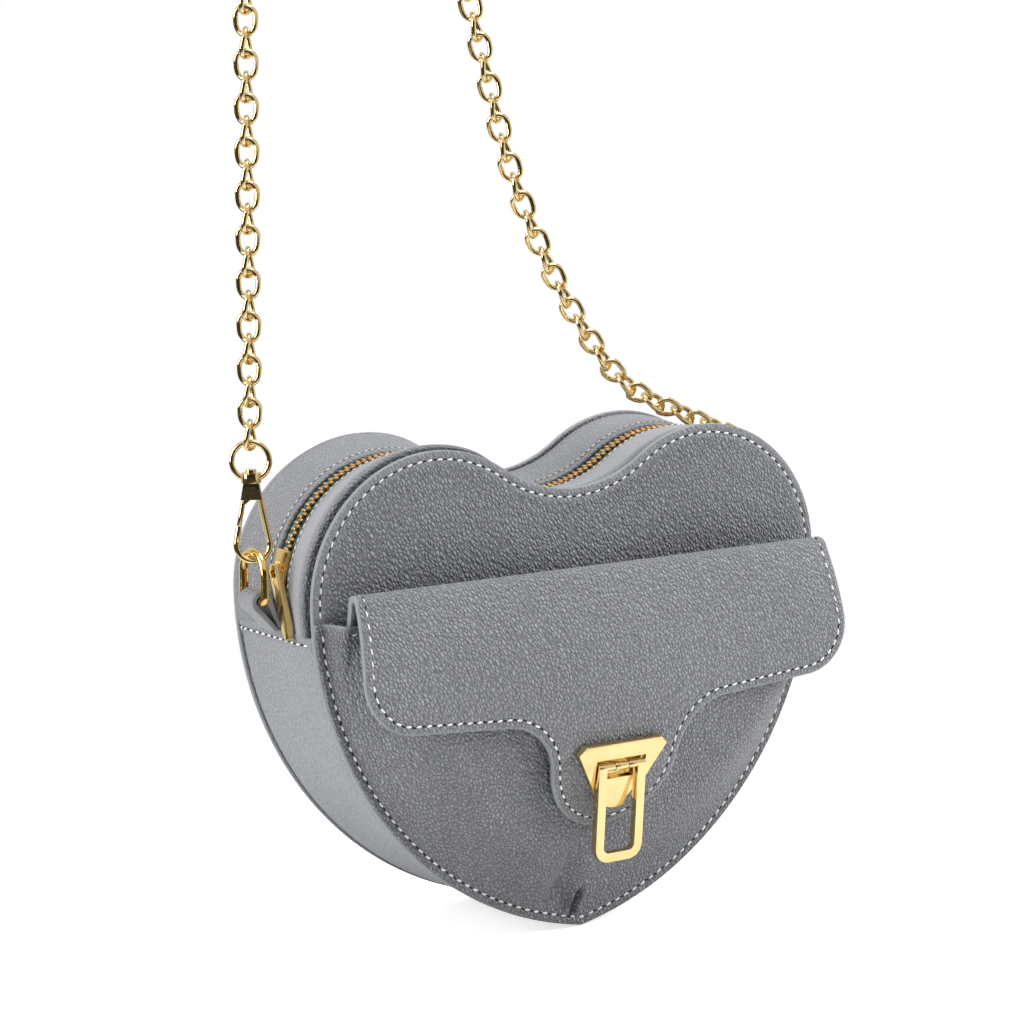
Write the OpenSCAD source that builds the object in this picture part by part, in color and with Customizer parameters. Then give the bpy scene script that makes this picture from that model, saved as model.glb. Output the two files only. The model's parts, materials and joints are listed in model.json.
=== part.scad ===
// Heart shaped shoulder purse: a zipped heart bag with a front pocket and flap, a hinged
// ring lock, and a curb chain strap that clips to a D-ring on each side.
// The bag's own frame has x to the right, y to the back from the front panel's face, and
// z up from the centres of the two lobes. The finished part hangs from the top of its chain.

/* [Heart body] */
// Radius of each round lobe of the heart
lobe_r = 48; // [44:1:52]
// Distance from the middle of the bag to the centre of each lobe
lobe_x = 55; // [51:1:59]
// Radius of the long side that runs from a lobe down to the tip
side_r = 124; // [118:1:132]
// Radius of the rounded tip
tip_r = 3; // [2:0.5:6]
// Radius of the hollow between the lobes
valley_r = 48; // [42:1:54]
// Depth of the bag from the front panel's face to the back panel's face
bag_d = 54; // [50:1:60]
// Thickness of the panel leather
panel_t = 1.8; // [1.4:0.1:2.4]
// Thickness of the gusset and zip strip leather
gusset_t = 1.6; // [1.2:0.1:2]
// How far the gusset and the strips lie inside the panels' raw edges
edge_step = 1; // [0.6:0.1:1.6]
// Thickness of the fabric lining
lining_t = 0.6; // [0.4:0.1:1]

/* [Zip] */
// Opening between the two zip strips, which shows the tape and the teeth
zip_gap = 9; // [8.4:0.2:12]
// Depth that the strips sink by towards the zip
zip_sink = 3; // [2:0.2:4]
// Thickness of the woven tape
tape_t = 0.6; // [0.4:0.1:1]
// Distance from one tooth to the next along one row
tooth_pitch = 2.3; // [2:0.1:3]
// Length of a tooth along the zip
tooth_l = 1.2; // [0.9:0.1:1.6]
// Width of a tooth across the zip
tooth_w = 2.1; // [1.7:0.1:2.4]
// Height of a tooth above the tape
tooth_h = 1.5; // [1:0.1:2]
// Length of the slider along the zip
slider_l = 12; // [9:0.5:15]
// Length of the slider's pull from its pin to its end
pull_l = 26; // [20:1:34]
// Width of the pull at its free end
pull_w = 4; // [3:0.2:4.6]
// Thickness of the pull
pull_t = 2; // [1.6:0.1:2.4]

/* [Front pocket] */
// Depth of the puffed pocket in front of the front panel
pocket_depth = 22; // [18:0.5:23]
// Thickness of the pocket's leather
pocket_t = 1.8; // [1.2:0.1:2.4]
// Height of the pocket's mouth below the lobes' centres
mouth_drop = 7; // [4:0.5:12]

/* [Flap] */
// Thickness of the flap's outer leather
flap_outer_t = 1.2; // [0.9:0.1:1.5]
// Thickness of the flap's backing leather
flap_back_t = 1; // [0.7:0.1:1.2]
// Outer radius of the soft fold at the flap's top
fold_r = 4.2; // [3.6:0.1:5]
// Half the flap's width at its fold
flap_half_w = 95; // [90:1:97]
// How much wider each side of the flap gets by its lower corner
flap_flare = 3; // [0:0.5:4]
// Radius of the flap's forward bow
bow_r = 95; // [88:1:104]
// Radius of the flap's lower corners
flap_corner_r = 14; // [8:0.5:18]
// Radius of the tongue's rounded end
tongue_r = 25.5; // [22:0.5:28]
// Radius of the hollow between the flap's lower edge and the tongue
tongue_fillet_r = 20; // [14:1:26]

/* [Lock] */
// Width of the lock plate along its top edge
plate_w = 36; // [32:1:40]
// Thickness of the lock plate
plate_t = 2.6; // [2.2:0.1:3.2]
// Outer width of the pull ring
ring_w = 19; // [17:0.5:20]
// Length of the pull ring from its pin to its lower end
ring_l = 33.5; // [28:0.5:38]
// Width of the ring's bar, seen from the front
bar_w = 3.2; // [2.6:0.1:3.6]
// Thickness of the ring's bar from front to back
bar_t = 2.8; // [2.4:0.1:3.2]
// Radius of the hinge pin
pin_r = 0.8; // [0.6:0.05:1]
// Radius of the magnets that hold the flap shut
magnet_r = 6; // [5:0.5:7]

/* [Rings and tabs] */
// Diameter of the D-ring's wire
dring_wire = 3; // [2.6:0.1:3.4]
// Clear width inside a D-ring
dring_in_w = 11.4; // [10.4:0.2:14]
// Height of a D-ring from its bar's centre to its inner top
dring_in_h = 14.5; // [12:0.5:16]
// Distance from the bag's side out to the D-ring's bar
dring_out = 6.2; // [5.8:0.1:7]
// Thickness of the folded leather tab
tab_t = 1.9; // [1.6:0.1:2.1]
// Width of the leather tab
tab_w = 9.6; // [8:0.2:10.2]

/* [Clasps] */
// Diameter of the clasp's wire
clasp_wire = 2; // [1.8:0.1:2.2]
// Radius of the clasp loop's round end, along the wire's centre
clasp_r = 5.5; // [5:0.1:6]
// Height of the clasp's loop from its round end's centre to the head
clasp_h = 15; // [13:0.5:18]
// Width of the clasp's head where the loop enters it
head_w = 7; // [6:0.2:8]
// Height of the clasp's head
head_h = 5.4; // [5:0.2:7]
// Height of the swivel collar
collar_h = 3.2; // [2.6:0.1:4]
// Radius of the swivel ring, along the wire's centre
eye_r = 6.2; // [5.6:0.1:7]
// Diameter of the swivel ring's wire
eye_wire = 1.8; // [1.5:0.1:2]
// Lean of the left clasp away from upright
left_lean = 0; // [-2:0.5:4]
// Lean of the right clasp over its lobe
right_lean = 41; // [37:0.5:43]
// Tilt of the right D-ring away from the bag
right_tilt = 10; // [4:1:14]

/* [Chain strap] */
// Outer length of a chain link
link_l = 10.9; // [10:0.1:12]
// Outer width of a chain link
link_w = 8.4; // [7.6:0.1:9]
// Diameter of the chain's wire
link_wire = 1.8; // [1.5:0.1:2]
// Length of the straight left strand
left_strand_l = 189; // [150:1:230]
// Radius of the turn at the top of the strap
arch_r = 35; // [31:1:40]
// Lean of the right strand from upright
strand_lean = 14.5; // [11:0.5:18]
// Radius of the long slack bend where the right strand leans over
sag_r = 230; // [200:5:260]
// Lean of the chain from upright where its tighter bend starts
sag_lean = 38; // [34:1:42]
// Radius of the tighter bend that lays the chain along the right lobe
settle_r = 62; // [54:1:70]

/* [Hidden] */
$fn = 48;

// Overrun of a cut past the face that it opens
over = 1;
// Gap between two pieces that move against each other
run_gap = 0.3;
// Gap between two pieces that rest on each other
seat_gap = 0.05;
// Radial clearance of a pin in the hole that turns on it
pin_gap = 0.08;
// Radial clearance of a pin in the hole that holds it
held_gap = 0.02;

// Number of straight facets in each stretch of the heart's outline
lobe_steps = 26;
side_steps = 16;
valley_steps = 10;
tip_steps = 3;
seam_steps = 2;
// Facets of the small outlines' round corners
corner_steps = 8;

mid_y = bag_d / 2;
side_x = lobe_x + lobe_r;
side_cx = side_x - side_r;
tip_cz = -sqrt(pow(side_r - tip_r, 2) - pow(side_cx, 2));
valley_cz = sqrt(pow(lobe_r + valley_r, 2) - pow(lobe_x, 2));
valley_turn = atan2(lobe_x, valley_cz);
lobe_end = 90 + valley_turn;
heart_reach = lobe_x + lobe_r + side_r;

// Drop of the gusset's upper ends below the lobes' centres
seam_drop = 9;
// Height and thickness of the turned edge along the gusset's upper ends
band_h = 5;
band_t = 0.8;
// Width of the zip tape hidden under each strip
tape_tuck = 5;
// Gap between the two rows of teeth, where the slider's post runs
zip_slot = 1.4;
// Gap between the lining and the leather around it
lining_gap = 0.4;
tape_inset = zip_sink + gusset_t;
lobe_zip_r = lobe_r - tape_inset;
valley_zip_r = valley_r + tape_inset;
tooth_seat = seat_gap;

// Degrees of turn in a run along a circle
function turn_of(run, r) = run / r * 180 / PI;
// Run along a circle in a turn of some degrees
function run_of(turn, r) = turn * r * PI / 180;

// Points along an arc, without its first point
function arc(c, r, a0, a1, n) =
    [for (i = [1:n]) let (a = a0 + (a1 - a0) * i / n) [c[0] + r * cos(a), c[1] + r * sin(a)]];

// Direction, seen from the side arc's centre, in which that arc meets the tip
function side_stop(inset) =
    inset < tip_r ? atan2(tip_cz, -side_cx) : -acos(-side_cx / (side_r - inset));

// Right half of the heart from the hollow at the top to the tip, drawn in by an inset
function half_heart(inset) = concat(
    [[0, valley_cz - valley_r - inset]],
    arc([0, valley_cz], valley_r + inset, -90, -90 + valley_turn, valley_steps),
    arc([lobe_x, 0], lobe_r - inset, lobe_end, 0, lobe_steps),
    arc([side_cx, 0], side_r - inset, 0, side_stop(inset), side_steps),
    inset < tip_r ? arc([0, tip_cz], tip_r - inset, side_stop(inset), -90, tip_steps) : []);

// Closes a right half whose first and last points lie on the middle line
function both_halves(pts) =
    concat(pts, [for (i = [len(pts) - 2:-1:1]) [-pts[i][0], pts[i][1]]]);

// Half the heart's width at a height below the lobes' centres
function half_width(z, inset) = side_cx + sqrt(pow(side_r - inset, 2) - z * z);

module heart(inset) {
    polygon(both_halves(half_heart(inset)));
}

// Gives an x-z outline a depth from y0 back to y1
module deep(y0, y1) {
    translate([0, y1, 0]) rotate([90, 0, 0]) linear_extrude(y1 - y0) children();
}

// Turns a profile of radius and y about a y-wise line through c, from angle a0 to a1
module turned(c, a0, a1) {
    translate([c[0], 0, c[1]]) rotate([90, 0, 0]) rotate([0, 0, a0])
        rotate_extrude(angle = a1 - a0) mirror([0, 1, 0]) children();
}

// Right half of the heart's top, from the hollow's middle round the lobe and down to the seam
function half_top(inset) = concat(
    [[0, valley_cz - valley_r - inset]],
    arc([0, valley_cz], valley_r + inset, -90, -90 + valley_turn, valley_steps),
    arc([lobe_x, 0], lobe_r - inset, lobe_end, 0, lobe_steps),
    arc([side_cx, 0], side_r - inset, 0, -asin(seam_drop / side_r), seam_steps));

// The whole top from the left seam to the right one
function whole_top(pts) =
    concat([for (i = [len(pts) - 1:-1:1]) [-pts[i][0], pts[i][1]]], pts);

// Runs a band of [inset, y] points along the heart's top, from seam to seam
module over_top(band) {
    lines = [for (p = band) whole_top(half_top(p[0]))];
    last = len(lines[0]) - 1;
    k = len(band);
    points = [for (i = [0:last]) for (j = [0:k - 1])
        [lines[j][i][0], band[j][1], lines[j][i][1]]];
    walls = [for (i = [0:last - 1]) for (j = [0:k - 1])
        let (a = i * k + j, b = i * k + (j + 1) % k) each [[a, a + k, b + k], [a, b + k, b]]];
    start = [for (j = [1:k - 2]) [0, j, j + 1]];
    end = [for (j = [1:k - 2]) [last * k, last * k + j + 1, last * k + j]];
    polyhedron(points, concat(walls, start, end));
}

// Turns a piece drawn behind the zip into its twin in front
module in_front() {
    translate([0, bag_d, 0]) rotate([0, 0, 180]) children();
}

// Places the bag's frame so that the strap's top is the part's origin
module hang() {
    translate([-arch_c[0], -mid_y, -arch_c[1] - arch_r]) children();
}

// Front panel: the whole heart, the pocket's back wall lower down
module front_panel() {
    color("slategray") hang() deep(0, panel_t) heart(0);
}

module back_panel() {
    color("slategray") hang() deep(bag_d - panel_t, bag_d) heart(0);
}

// Part of a heart shaped wall that lies below a height
module wall_below(outer, inner, top) {
    intersection() {
        difference() {
            heart(outer);
            heart(inner);
        }
        translate([-heart_reach, -2 * heart_reach]) square([2 * heart_reach, 2 * heart_reach + top]);
    }
}

// Lower gusset: one strip round the tip, with a turned edge where it covers the zip strips
module lower_gusset() {
    inner = edge_step + gusset_t;
    color("lightslategray") hang() deep(panel_t, bag_d - panel_t) union() {
        wall_below(edge_step, inner, -seam_drop);
        difference() {
            wall_below(edge_step - band_t, inner, -seam_drop);
            translate([-heart_reach, -heart_reach - seam_drop - band_h])
                square([2 * heart_reach, heart_reach]);
        }
    }
}

strip_y = mid_y + zip_gap / 2;
strip_band = [[edge_step, bag_d - panel_t], [zip_sink, strip_y],
    [zip_sink + gusset_t, strip_y], [edge_step + gusset_t, bag_d - panel_t]];

module front_zip_strip() {
    color("lightslategray") hang() in_front() over_top(strip_band);
}

module back_zip_strip() {
    color("lightslategray") hang() over_top(strip_band);
}

tape_band = [[tape_inset, strip_y + tape_tuck], [tape_inset, mid_y + zip_slot / 2],
    [tape_inset + tape_t, mid_y + zip_slot / 2], [tape_inset + tape_t, strip_y + tape_tuck]];

module front_zip_tape() {
    color("teal") hang() in_front() over_top(tape_band);
}

module back_zip_tape() {
    color("teal") hang() over_top(tape_band);
}

lobe_run = run_of(lobe_end, lobe_zip_r);
valley_run = run_of(2 * valley_turn, valley_zip_r);
zip_run = 2 * lobe_run + valley_run;

// Place on the zip's line after a run from its left end: x, z and the outward direction
function zip_spot(s) =
    s < lobe_run ?
        let (a = 180 - turn_of(s, lobe_zip_r))
        [-lobe_x + lobe_zip_r * cos(a), lobe_zip_r * sin(a), a]
    : s < lobe_run + valley_run ?
        let (a = -90 - valley_turn + turn_of(s - lobe_run, valley_zip_r))
        [valley_zip_r * cos(a), valley_cz + valley_zip_r * sin(a), a + 180]
    :
        let (a = lobe_end - turn_of(s - lobe_run - valley_run, lobe_zip_r))
        [lobe_x + lobe_zip_r * cos(a), lobe_zip_r * sin(a), a];

// Stands a piece on the zip, with its x axis pointing out of the bag
module on_zip(s) {
    spot = zip_spot(s);
    translate([spot[0], 0, spot[1]]) rotate([0, -spot[2], 0]) children();
}

// One row of teeth, from y0 inward, that starts after a lead
module teeth_row(y0, lead) {
    count = floor((zip_run - lead - tooth_l) / tooth_pitch);
    for (i = [0:count]) on_zip(lead + i * tooth_pitch)
        translate([tooth_seat, y0, -tooth_l / 2]) cube([tooth_h, tooth_w, tooth_l]);
}

module front_zip_teeth() {
    color("goldenrod") hang() teeth_row(mid_y - zip_slot / 2 - tooth_w, tooth_l);
}

module back_zip_teeth() {
    color("goldenrod") hang() teeth_row(mid_y + zip_slot / 2, tooth_l + tooth_pitch / 2);
}

// End stops: a clamp across both tapes at each end of the zip
module zip_stops() {
    stop_l = 2;
    stop_w = 2 * tooth_w + zip_slot;
    color("goldenrod") hang() for (side = [0, 1]) mirror([side, 0, 0])
        translate([side_x - tape_inset + tooth_seat, mid_y - stop_w / 2, -stop_l - tooth_l])
            cube([tooth_h, stop_w, stop_l]);
}

// Fabric lining: a thin closed bag inside the leather, slit along the zip
module lining() {
    inset = tape_inset + tape_t + lining_gap + lining_t;
    y0 = panel_t + lining_gap;
    y1 = bag_d - y0;
    slit_w = 2 * (wing_y + wing_t + run_gap);
    color("tan") hang() difference() {
        deep(y0, y1) heart(inset);
        deep(y0 + lining_t, y1 - lining_t) heart(inset + lining_t);
        translate([0, mid_y - slit_w / 2, 0]) translate([-heart_reach, 0, 0])
            cube([2 * heart_reach, slit_w, heart_reach]);
    }
}

// Front pocket: one puffed panel sewn round the heart's edge and open at the mouth
pocket_rows = 16;
pocket_columns = 24;
// Share of the pocket's depth at its mouth, and share of its height where it is deepest
mouth_depth_share = 0.8;
deepest_share = 0.3;
// How squarely the pocket rises at its sides
pocket_side_power = 12;
// How far the pocket's lower end stays above the heart's tip
pocket_tip_gap = 0.3;
pocket_bottom = tip_cz - tip_r + pocket_tip_gap;

// Share of the pocket's depth at a share of its height below the mouth
function pocket_rise(v) =
    v < deepest_share
        ? 1 - (1 - mouth_depth_share) * pow((deepest_share - v) / deepest_share, 2)
        : 1 - pow((v - deepest_share) / (1 - deepest_share), pocket_fall_power);

// Point of the pocket's skin at height share v and across share u, drawn in by an inset
function pocket_point(v, u, inset) =
    let (z = -mouth_drop + (pocket_bottom + inset + mouth_drop) * v)
    let (rise = max(pocket_depth * pocket_rise(v) - inset, 0))
    [half_width(z, inset) * u, -rise * sqrt(1 - pow(abs(u), pocket_side_power)), z];

function pocket_skin(inset) =
    [for (i = [0:pocket_rows]) for (j = [0:pocket_columns])
        pocket_point(i / pocket_rows, sin(180 * j / pocket_columns - 90), inset)];

module front_pocket() {
    nj = pocket_columns + 1;
    inner0 = (pocket_rows + 1) * nj;
    last = pocket_rows * nj;
    function quad(a, b, c, d) = [[a, b, c], [a, c, d]];
    outer_faces = [for (i = [0:pocket_rows - 1]) for (j = [0:pocket_columns - 1])
        let (k = i * nj + j) each quad(k, k + 1, k + nj + 1, k + nj)];
    inner_faces = [for (i = [0:pocket_rows - 1]) for (j = [0:pocket_columns - 1])
        let (k = inner0 + i * nj + j) each quad(k, k + nj, k + nj + 1, k + 1)];
    mouth_faces = [for (j = [0:pocket_columns - 1])
        each quad(j, inner0 + j, inner0 + j + 1, j + 1)];
    foot_faces = [for (j = [0:pocket_columns - 1])
        each quad(last + j, last + j + 1, inner0 + last + j + 1, inner0 + last + j)];
    side_faces = [for (i = [0:pocket_rows - 1]) let (k = i * nj, m = k + pocket_columns)
        each concat(quad(k, k + nj, inner0 + k + nj, inner0 + k),
            quad(m, inner0 + m, inner0 + m + nj, m + nj))];
    color("slategray") hang() polyhedron(
        concat(pocket_skin(0), pocket_skin(pocket_t)),
        concat(outer_faces, inner_faces, mouth_faces, foot_faces, side_faces));
}

// Flap: bowed leather that hangs from a soft fold in front of the pocket
flap_t = flap_outer_t + flap_back_t;
// Lean of the flap's surface where it leaves the fold
fold_lean = 25;
// Height of the fold's centre above the pocket's mouth
fold_rise = 8.6;
fold_y = -pocket_depth * 0.6;
fold_z = fold_rise - mouth_drop;
bow_c = [fold_y + (bow_r - fold_r) * cos(fold_lean), fold_z - (bow_r - fold_r) * sin(fold_lean)];
// Drop of the flap's lower edge and of its tongue's end below the lobes' centres
flap_drop = 42.5;
tongue_drop = 81;
// How deep the flap's hidden rear leg reaches into the pocket, and its narrowing there
root_l = 27;
root_narrow = 2;

// Front face of the flap at a height
function bow_y(z, t) = bow_c[0] - sqrt(pow(bow_r - t, 2) - pow(z - bow_c[1], 2));

tongue_cz = -tongue_drop + tongue_r;
fillet_cz = -flap_drop - tongue_fillet_r;
fillet_x = sqrt(pow(tongue_r + tongue_fillet_r, 2) - pow(tongue_cz - fillet_cz, 2));
// Direction from the tongue's centre to the fillet's centre
fillet_dir = atan2(fillet_cz - tongue_cz, fillet_x);
flap_low_w = flap_half_w + flap_flare;
// How much higher the lower edge lies at the corners than beside the tongue
corner_rise = 2.5;
flap_top = fold_z + 2 * fold_r;

function half_flap(inset) = concat(
    [[0, flap_top], [flap_half_w - inset, flap_top]],
    arc([flap_low_w - flap_corner_r, flap_corner_r - flap_drop + corner_rise],
        flap_corner_r - inset, 0, -90, corner_steps),
    [[fillet_x, inset - flap_drop]],
    arc([fillet_x, fillet_cz], tongue_fillet_r + inset, 90, 180 + fillet_dir, corner_steps),
    arc([0, tongue_cz], tongue_r - inset, fillet_dir, -90, corner_steps));

// Layer of the flap between two depths under its front face
module flap_layer(t0, t1) {
    deep_far = 2 * bow_r;
    intersection() {
        translate([0, bow_c[0], bow_c[1]]) rotate([0, 90, 0]) difference() {
            cylinder(r = bow_r - t0, h = 2 * flap_low_w + over, center = true, $fn = 120);
            cylinder(r = bow_r - t1, h = 2 * flap_low_w + 2 * over, center = true, $fn = 120);
        }
        deep(bow_c[0] - deep_far, bow_c[0]) polygon(both_halves(half_flap(0)));
        translate([0, fold_y, fold_z]) rotate([-fold_lean, 0, 0])
            translate([-heart_reach, -heart_reach, -2 * heart_reach])
                cube([2 * heart_reach, 2 * heart_reach, 2 * heart_reach]);
    }
}

// Fold of both layers over the pocket's mouth, from the flap round to the rear leg
module flap_fold() {
    w = 2 * flap_half_w;
    color("slategray") hang() translate([0, fold_y, fold_z]) difference() {
        rotate([0, 90, 0]) cylinder(r = fold_r, h = w, center = true);
        rotate([0, 90, 0]) cylinder(r = fold_r - flap_t, h = w + over, center = true);
        translate([-w, 0, -2 * fold_r]) cube([2 * w, 2 * fold_r, 2 * fold_r]);
        rotate([-fold_lean, 0, 0]) translate([-w, -2 * fold_r, -4 * fold_r])
            cube([2 * w, 2 * fold_r + fold_r - flap_t, 4 * fold_r]);
    }
}

// Rear leg: both layers run down behind the mouth and are sewn to the front panel
module flap_root() {
    w = 2 * (flap_half_w - root_narrow);
    top = fold_z - run_gap;
    low = top - root_l;
    y_in = fold_y + fold_r - flap_t;
    color("slategray") hang() rotate([90, 0, 90]) translate([0, 0, -w / 2]) linear_extrude(w)
        polygon([[y_in, top], [y_in + flap_t, top], [-seat_gap, low + flap_t],
            [-seat_gap, low], [-seat_gap - flap_t, low]]);
}

// Lean of the flap's face at the lock, and the lock's place on it
lock_z = -64;
lock_lean = asin((bow_c[1] - lock_z) / bow_r);
lock_y = bow_y(lock_z, 0);

// Frame on the flap's face at the lock: -y points out of the face and z runs up along it
module on_lock() {
    translate([0, lock_y, lock_z]) rotate([lock_lean, 0, 0]) children();
}

// Raises an outline on the flap's face from a depth d0 to d1 out of it
module raised(d0, d1) {
    translate([0, -d0, 0]) rotate([90, 0, 0]) linear_extrude(d1 - d0) children();
}

// Screws: places on the plate, shank and head
screw_x = 0.36 * plate_w;
screw_z = 8.5;
screw_r = 1;
screw_head_r = 2.1;
screw_head_t = 0.7;
screw_bite = 1.5;

module screw_holes(r, d0, d1) {
    for (s = [-1, 1]) translate([s * screw_x, -d0, screw_z]) rotate([90, 0, 0])
        cylinder(r = r, h = d1 - d0);
}

module flap() {
    color("slategray") hang() difference() {
        flap_layer(0, flap_outer_t);
        on_lock() screw_holes(screw_r + seat_gap, -2 * flap_t, over);
    }
}

module flap_backing() {
    color("dimgray") hang() difference() {
        flap_layer(flap_outer_t, flap_t);
        on_lock() screw_holes(screw_r + seat_gap, -2 * flap_t, over);
        on_magnet() magnet_hole();
    }
}

// Lock plate: a cast plate with a recess for the ring, a knuckle and a raised land
plate_top = 12.5;
plate_chamfer = 2.6;
plate_round_r = 9.5;
plate_round_z = -2.5;
recess_floor = 0.8;
recess_top = 6.6;
recess_gap = 0.5;
pin_z = 3.8;
pin_d = 2.4;
knuckle_w = 5.2;
knuckle_r = 1.5;
land_top = -0.4;
land_w = 10.6;
land_low_w = 7.6;
land_d = 2.9;

plate_corner = [plate_w / 2, plate_top - plate_chamfer];
plate_reach = norm([plate_corner[0], plate_corner[1] - plate_round_z]);
plate_tangent = atan2(plate_corner[1] - plate_round_z, plate_corner[0])
    - acos(plate_round_r / plate_reach);

module plate_outline() {
    polygon(both_halves(concat(
        [[0, plate_top], [plate_w / 2 - plate_chamfer, plate_top], plate_corner,
            [plate_round_r * cos(plate_tangent),
                plate_round_z + plate_round_r * sin(plate_tangent)]],
        arc([0, plate_round_z], plate_round_r, plate_tangent, -90, corner_steps))));
}

module lock_plate() {
    recess_w = ring_w + 2 * recess_gap;
    land_h = land_top - plate_round_z + plate_round_r;
    color("gold") hang() on_lock() difference() {
        union() {
            difference() {
                raised(seat_gap, plate_t) plate_outline();
                translate([-recess_w / 2, -plate_t - over, recess_top - 3 * plate_top])
                    cube([recess_w, plate_t + over - recess_floor, 3 * plate_top]);
            }
            intersection() {
                raised(seat_gap, land_d) plate_outline();
                raised(seat_gap, land_d) polygon([[-land_w / 2, land_top], [land_w / 2, land_top],
                    [land_low_w / 2, land_top - land_h], [-land_low_w / 2, land_top - land_h]]);
            }
            translate([-knuckle_w / 2, -pin_d, pin_z - knuckle_r])
                cube([knuckle_w, pin_d - seat_gap, 2 * knuckle_r]);
            translate([0, -pin_d, pin_z]) rotate([0, 90, 0])
                cylinder(r = knuckle_r, h = knuckle_w, center = true);
        }
        translate([0, -pin_d, pin_z]) rotate([0, 90, 0])
            cylinder(r = pin_r + held_gap, h = knuckle_w + over, center = true);
        screw_holes(screw_r + held_gap, -over, screw_bite + seat_gap);
    }
}

// Depths behind the flap's face of the plates and magnets inside
back_d = flap_t + 0.8;
back_plate_t = 0.6;
magnet_t = 0.7;

// Hole in the flap's backing, in which the flap's magnet lies flush
module magnet_hole() {
    rotate([90, 0, 0]) cylinder(r = magnet_r + seat_gap, h = 4 * flap_t, center = true);
}

module lock_back_plate() {
    w = 2 * screw_x + 3 * screw_head_r;
    h = 2 * screw_head_r + 2;
    color("silver") hang() on_lock() difference() {
        raised(-back_d - back_plate_t, -back_d) translate([-w / 2, screw_z - h / 2])
            square([w, h]);
        screw_holes(screw_r + seat_gap, -back_d - back_plate_t - over, over);
    }
}

module lock_screws() {
    d_in = -back_d - back_plate_t - seat_gap;
    color("silver") hang() on_lock() {
        screw_holes(screw_r, d_in, screw_bite);
        screw_holes(screw_head_r, d_in - screw_head_t, d_in);
    }
}

module lock_pin() {
    l = ring_w - bar_w;
    color("gold") hang() on_lock() translate([0, -pin_d, pin_z]) rotate([0, 90, 0])
        cylinder(r = pin_r, h = l, center = true);
}

// Lean of the hanging ring from upright
ring_lean = 6;
ring_corner_r = 5.4;
ring_eye_r = bar_t / 2;

// Right half of a round-cornered U, from its top down to the middle of its foot
function half_u(w, low, r) = concat([[0, 0], [w, 0], [w, low + r]],
    arc([w - r, low + r], r, 0, -90, corner_steps), [[0, low]]);

// Pull ring: a long loop whose two eyes turn on the pin
module lock_ring() {
    w = ring_w / 2;
    eye_l = w - knuckle_w / 2 - run_gap;
    color("gold") hang() on_lock() translate([0, -pin_d, pin_z])
        rotate([ring_lean - lock_lean, 0, 0]) difference() {
            union() {
                translate([0, bar_t / 2, 0]) rotate([90, 0, 0]) linear_extrude(bar_t)
                    difference() {
                        polygon(both_halves(half_u(w, -ring_l, ring_corner_r)));
                        translate([0, over])
                            polygon(both_halves(half_u(w - bar_w, -ring_l + bar_w - over,
                                ring_corner_r - bar_w)));
                    }
                for (s = [-1, 1]) translate([s * (w - eye_l / 2), 0, 0]) rotate([0, 90, 0])
                    cylinder(r = ring_eye_r, h = eye_l, center = true);
            }
            rotate([0, 90, 0]) cylinder(r = pin_r + pin_gap, h = ring_w - bar_w + run_gap,
                center = true);
        }
}

// Frame on the flap's face at the magnets, like the lock's own
magnet_drop = 8;
magnet_at = lock_z - magnet_drop;
magnet_lean = asin((bow_c[1] - magnet_at) / bow_r);

module on_magnet() {
    translate([0, bow_y(magnet_at, 0), magnet_at]) rotate([magnet_lean, 0, 0]) children();
}

// How far the flap's bow falls away behind the flat face of a magnet
magnet_sag = pow(magnet_r, 2) / bow_r / 2 + seat_gap;
// Distance from the flap's face to the pocket's skin at the magnets
pocket_gap = 4.07;
pocket_v = (-mouth_drop - magnet_at) / (-mouth_drop - pocket_bottom);
pocket_share = -(bow_y(magnet_at, 0) + pocket_gap / cos(magnet_lean)) / pocket_depth;
// How the pocket falls to the tip, so that it passes the flap at that distance
pocket_fall_power = ln(1 - pocket_share) / ln((pocket_v - deepest_share) / (1 - deepest_share));

module flap_magnet() {
    color("silver") hang() on_magnet() translate([0, flap_outer_t + magnet_sag, 0])
        rotate([-90, 0, 0]) cylinder(r = magnet_r, h = flap_back_t);
}

module pocket_magnet() {
    color("silver") hang() on_magnet() translate([0, pocket_gap - magnet_t - magnet_sag - run_gap, 0])
        rotate([-90, 0, 0]) cylinder(r = magnet_r, h = magnet_t);
}

// Zip slider: two wings round the teeth, joined by a post that runs between the rows
wing_t = 0.9;
slider_at = 12.8;
slider_half = turn_of(slider_l / 2, lobe_zip_r);
wing_r = lobe_zip_r + tooth_seat + tooth_h + run_gap;
wing_y = zip_slot / 2 + tooth_w + run_gap;
lug_r = 1.3;
lug_h = 2.7;
pull_pin_r = 0.6;
lug_pin_r = wing_r + wing_t + lug_h - lug_r / 2 - pull_pin_r;
pull_lean = 32;
// Angle by which the pull stands off the bag where it lies on the gusset's turned edge
pull_out = 6.5;

module slider_part(r0, r1, y0, y1, a0, a1) {
    turned([-lobe_x, 0], 180 - slider_at - a1, 180 - slider_at + a0)
        translate([r0, mid_y + y0]) square([r1 - r0, y1 - y0]);
}

// Frame at the pull's pin: x points out of the bag and z runs up along the zip
module on_lug() {
    translate([-lobe_x, mid_y, 0]) mirror([1, 0, 0]) rotate([0, -slider_at, 0])
        translate([lug_pin_r, 0, 0]) children();
}

// Frame of the hanging pull: y lies along its pin and z runs up along the pull
module on_pull() {
    on_lug() rotate([0, slider_at, 0]) rotate([-pull_lean, 0, 0]) rotate([0, -pull_out, 0])
        children();
}

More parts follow.
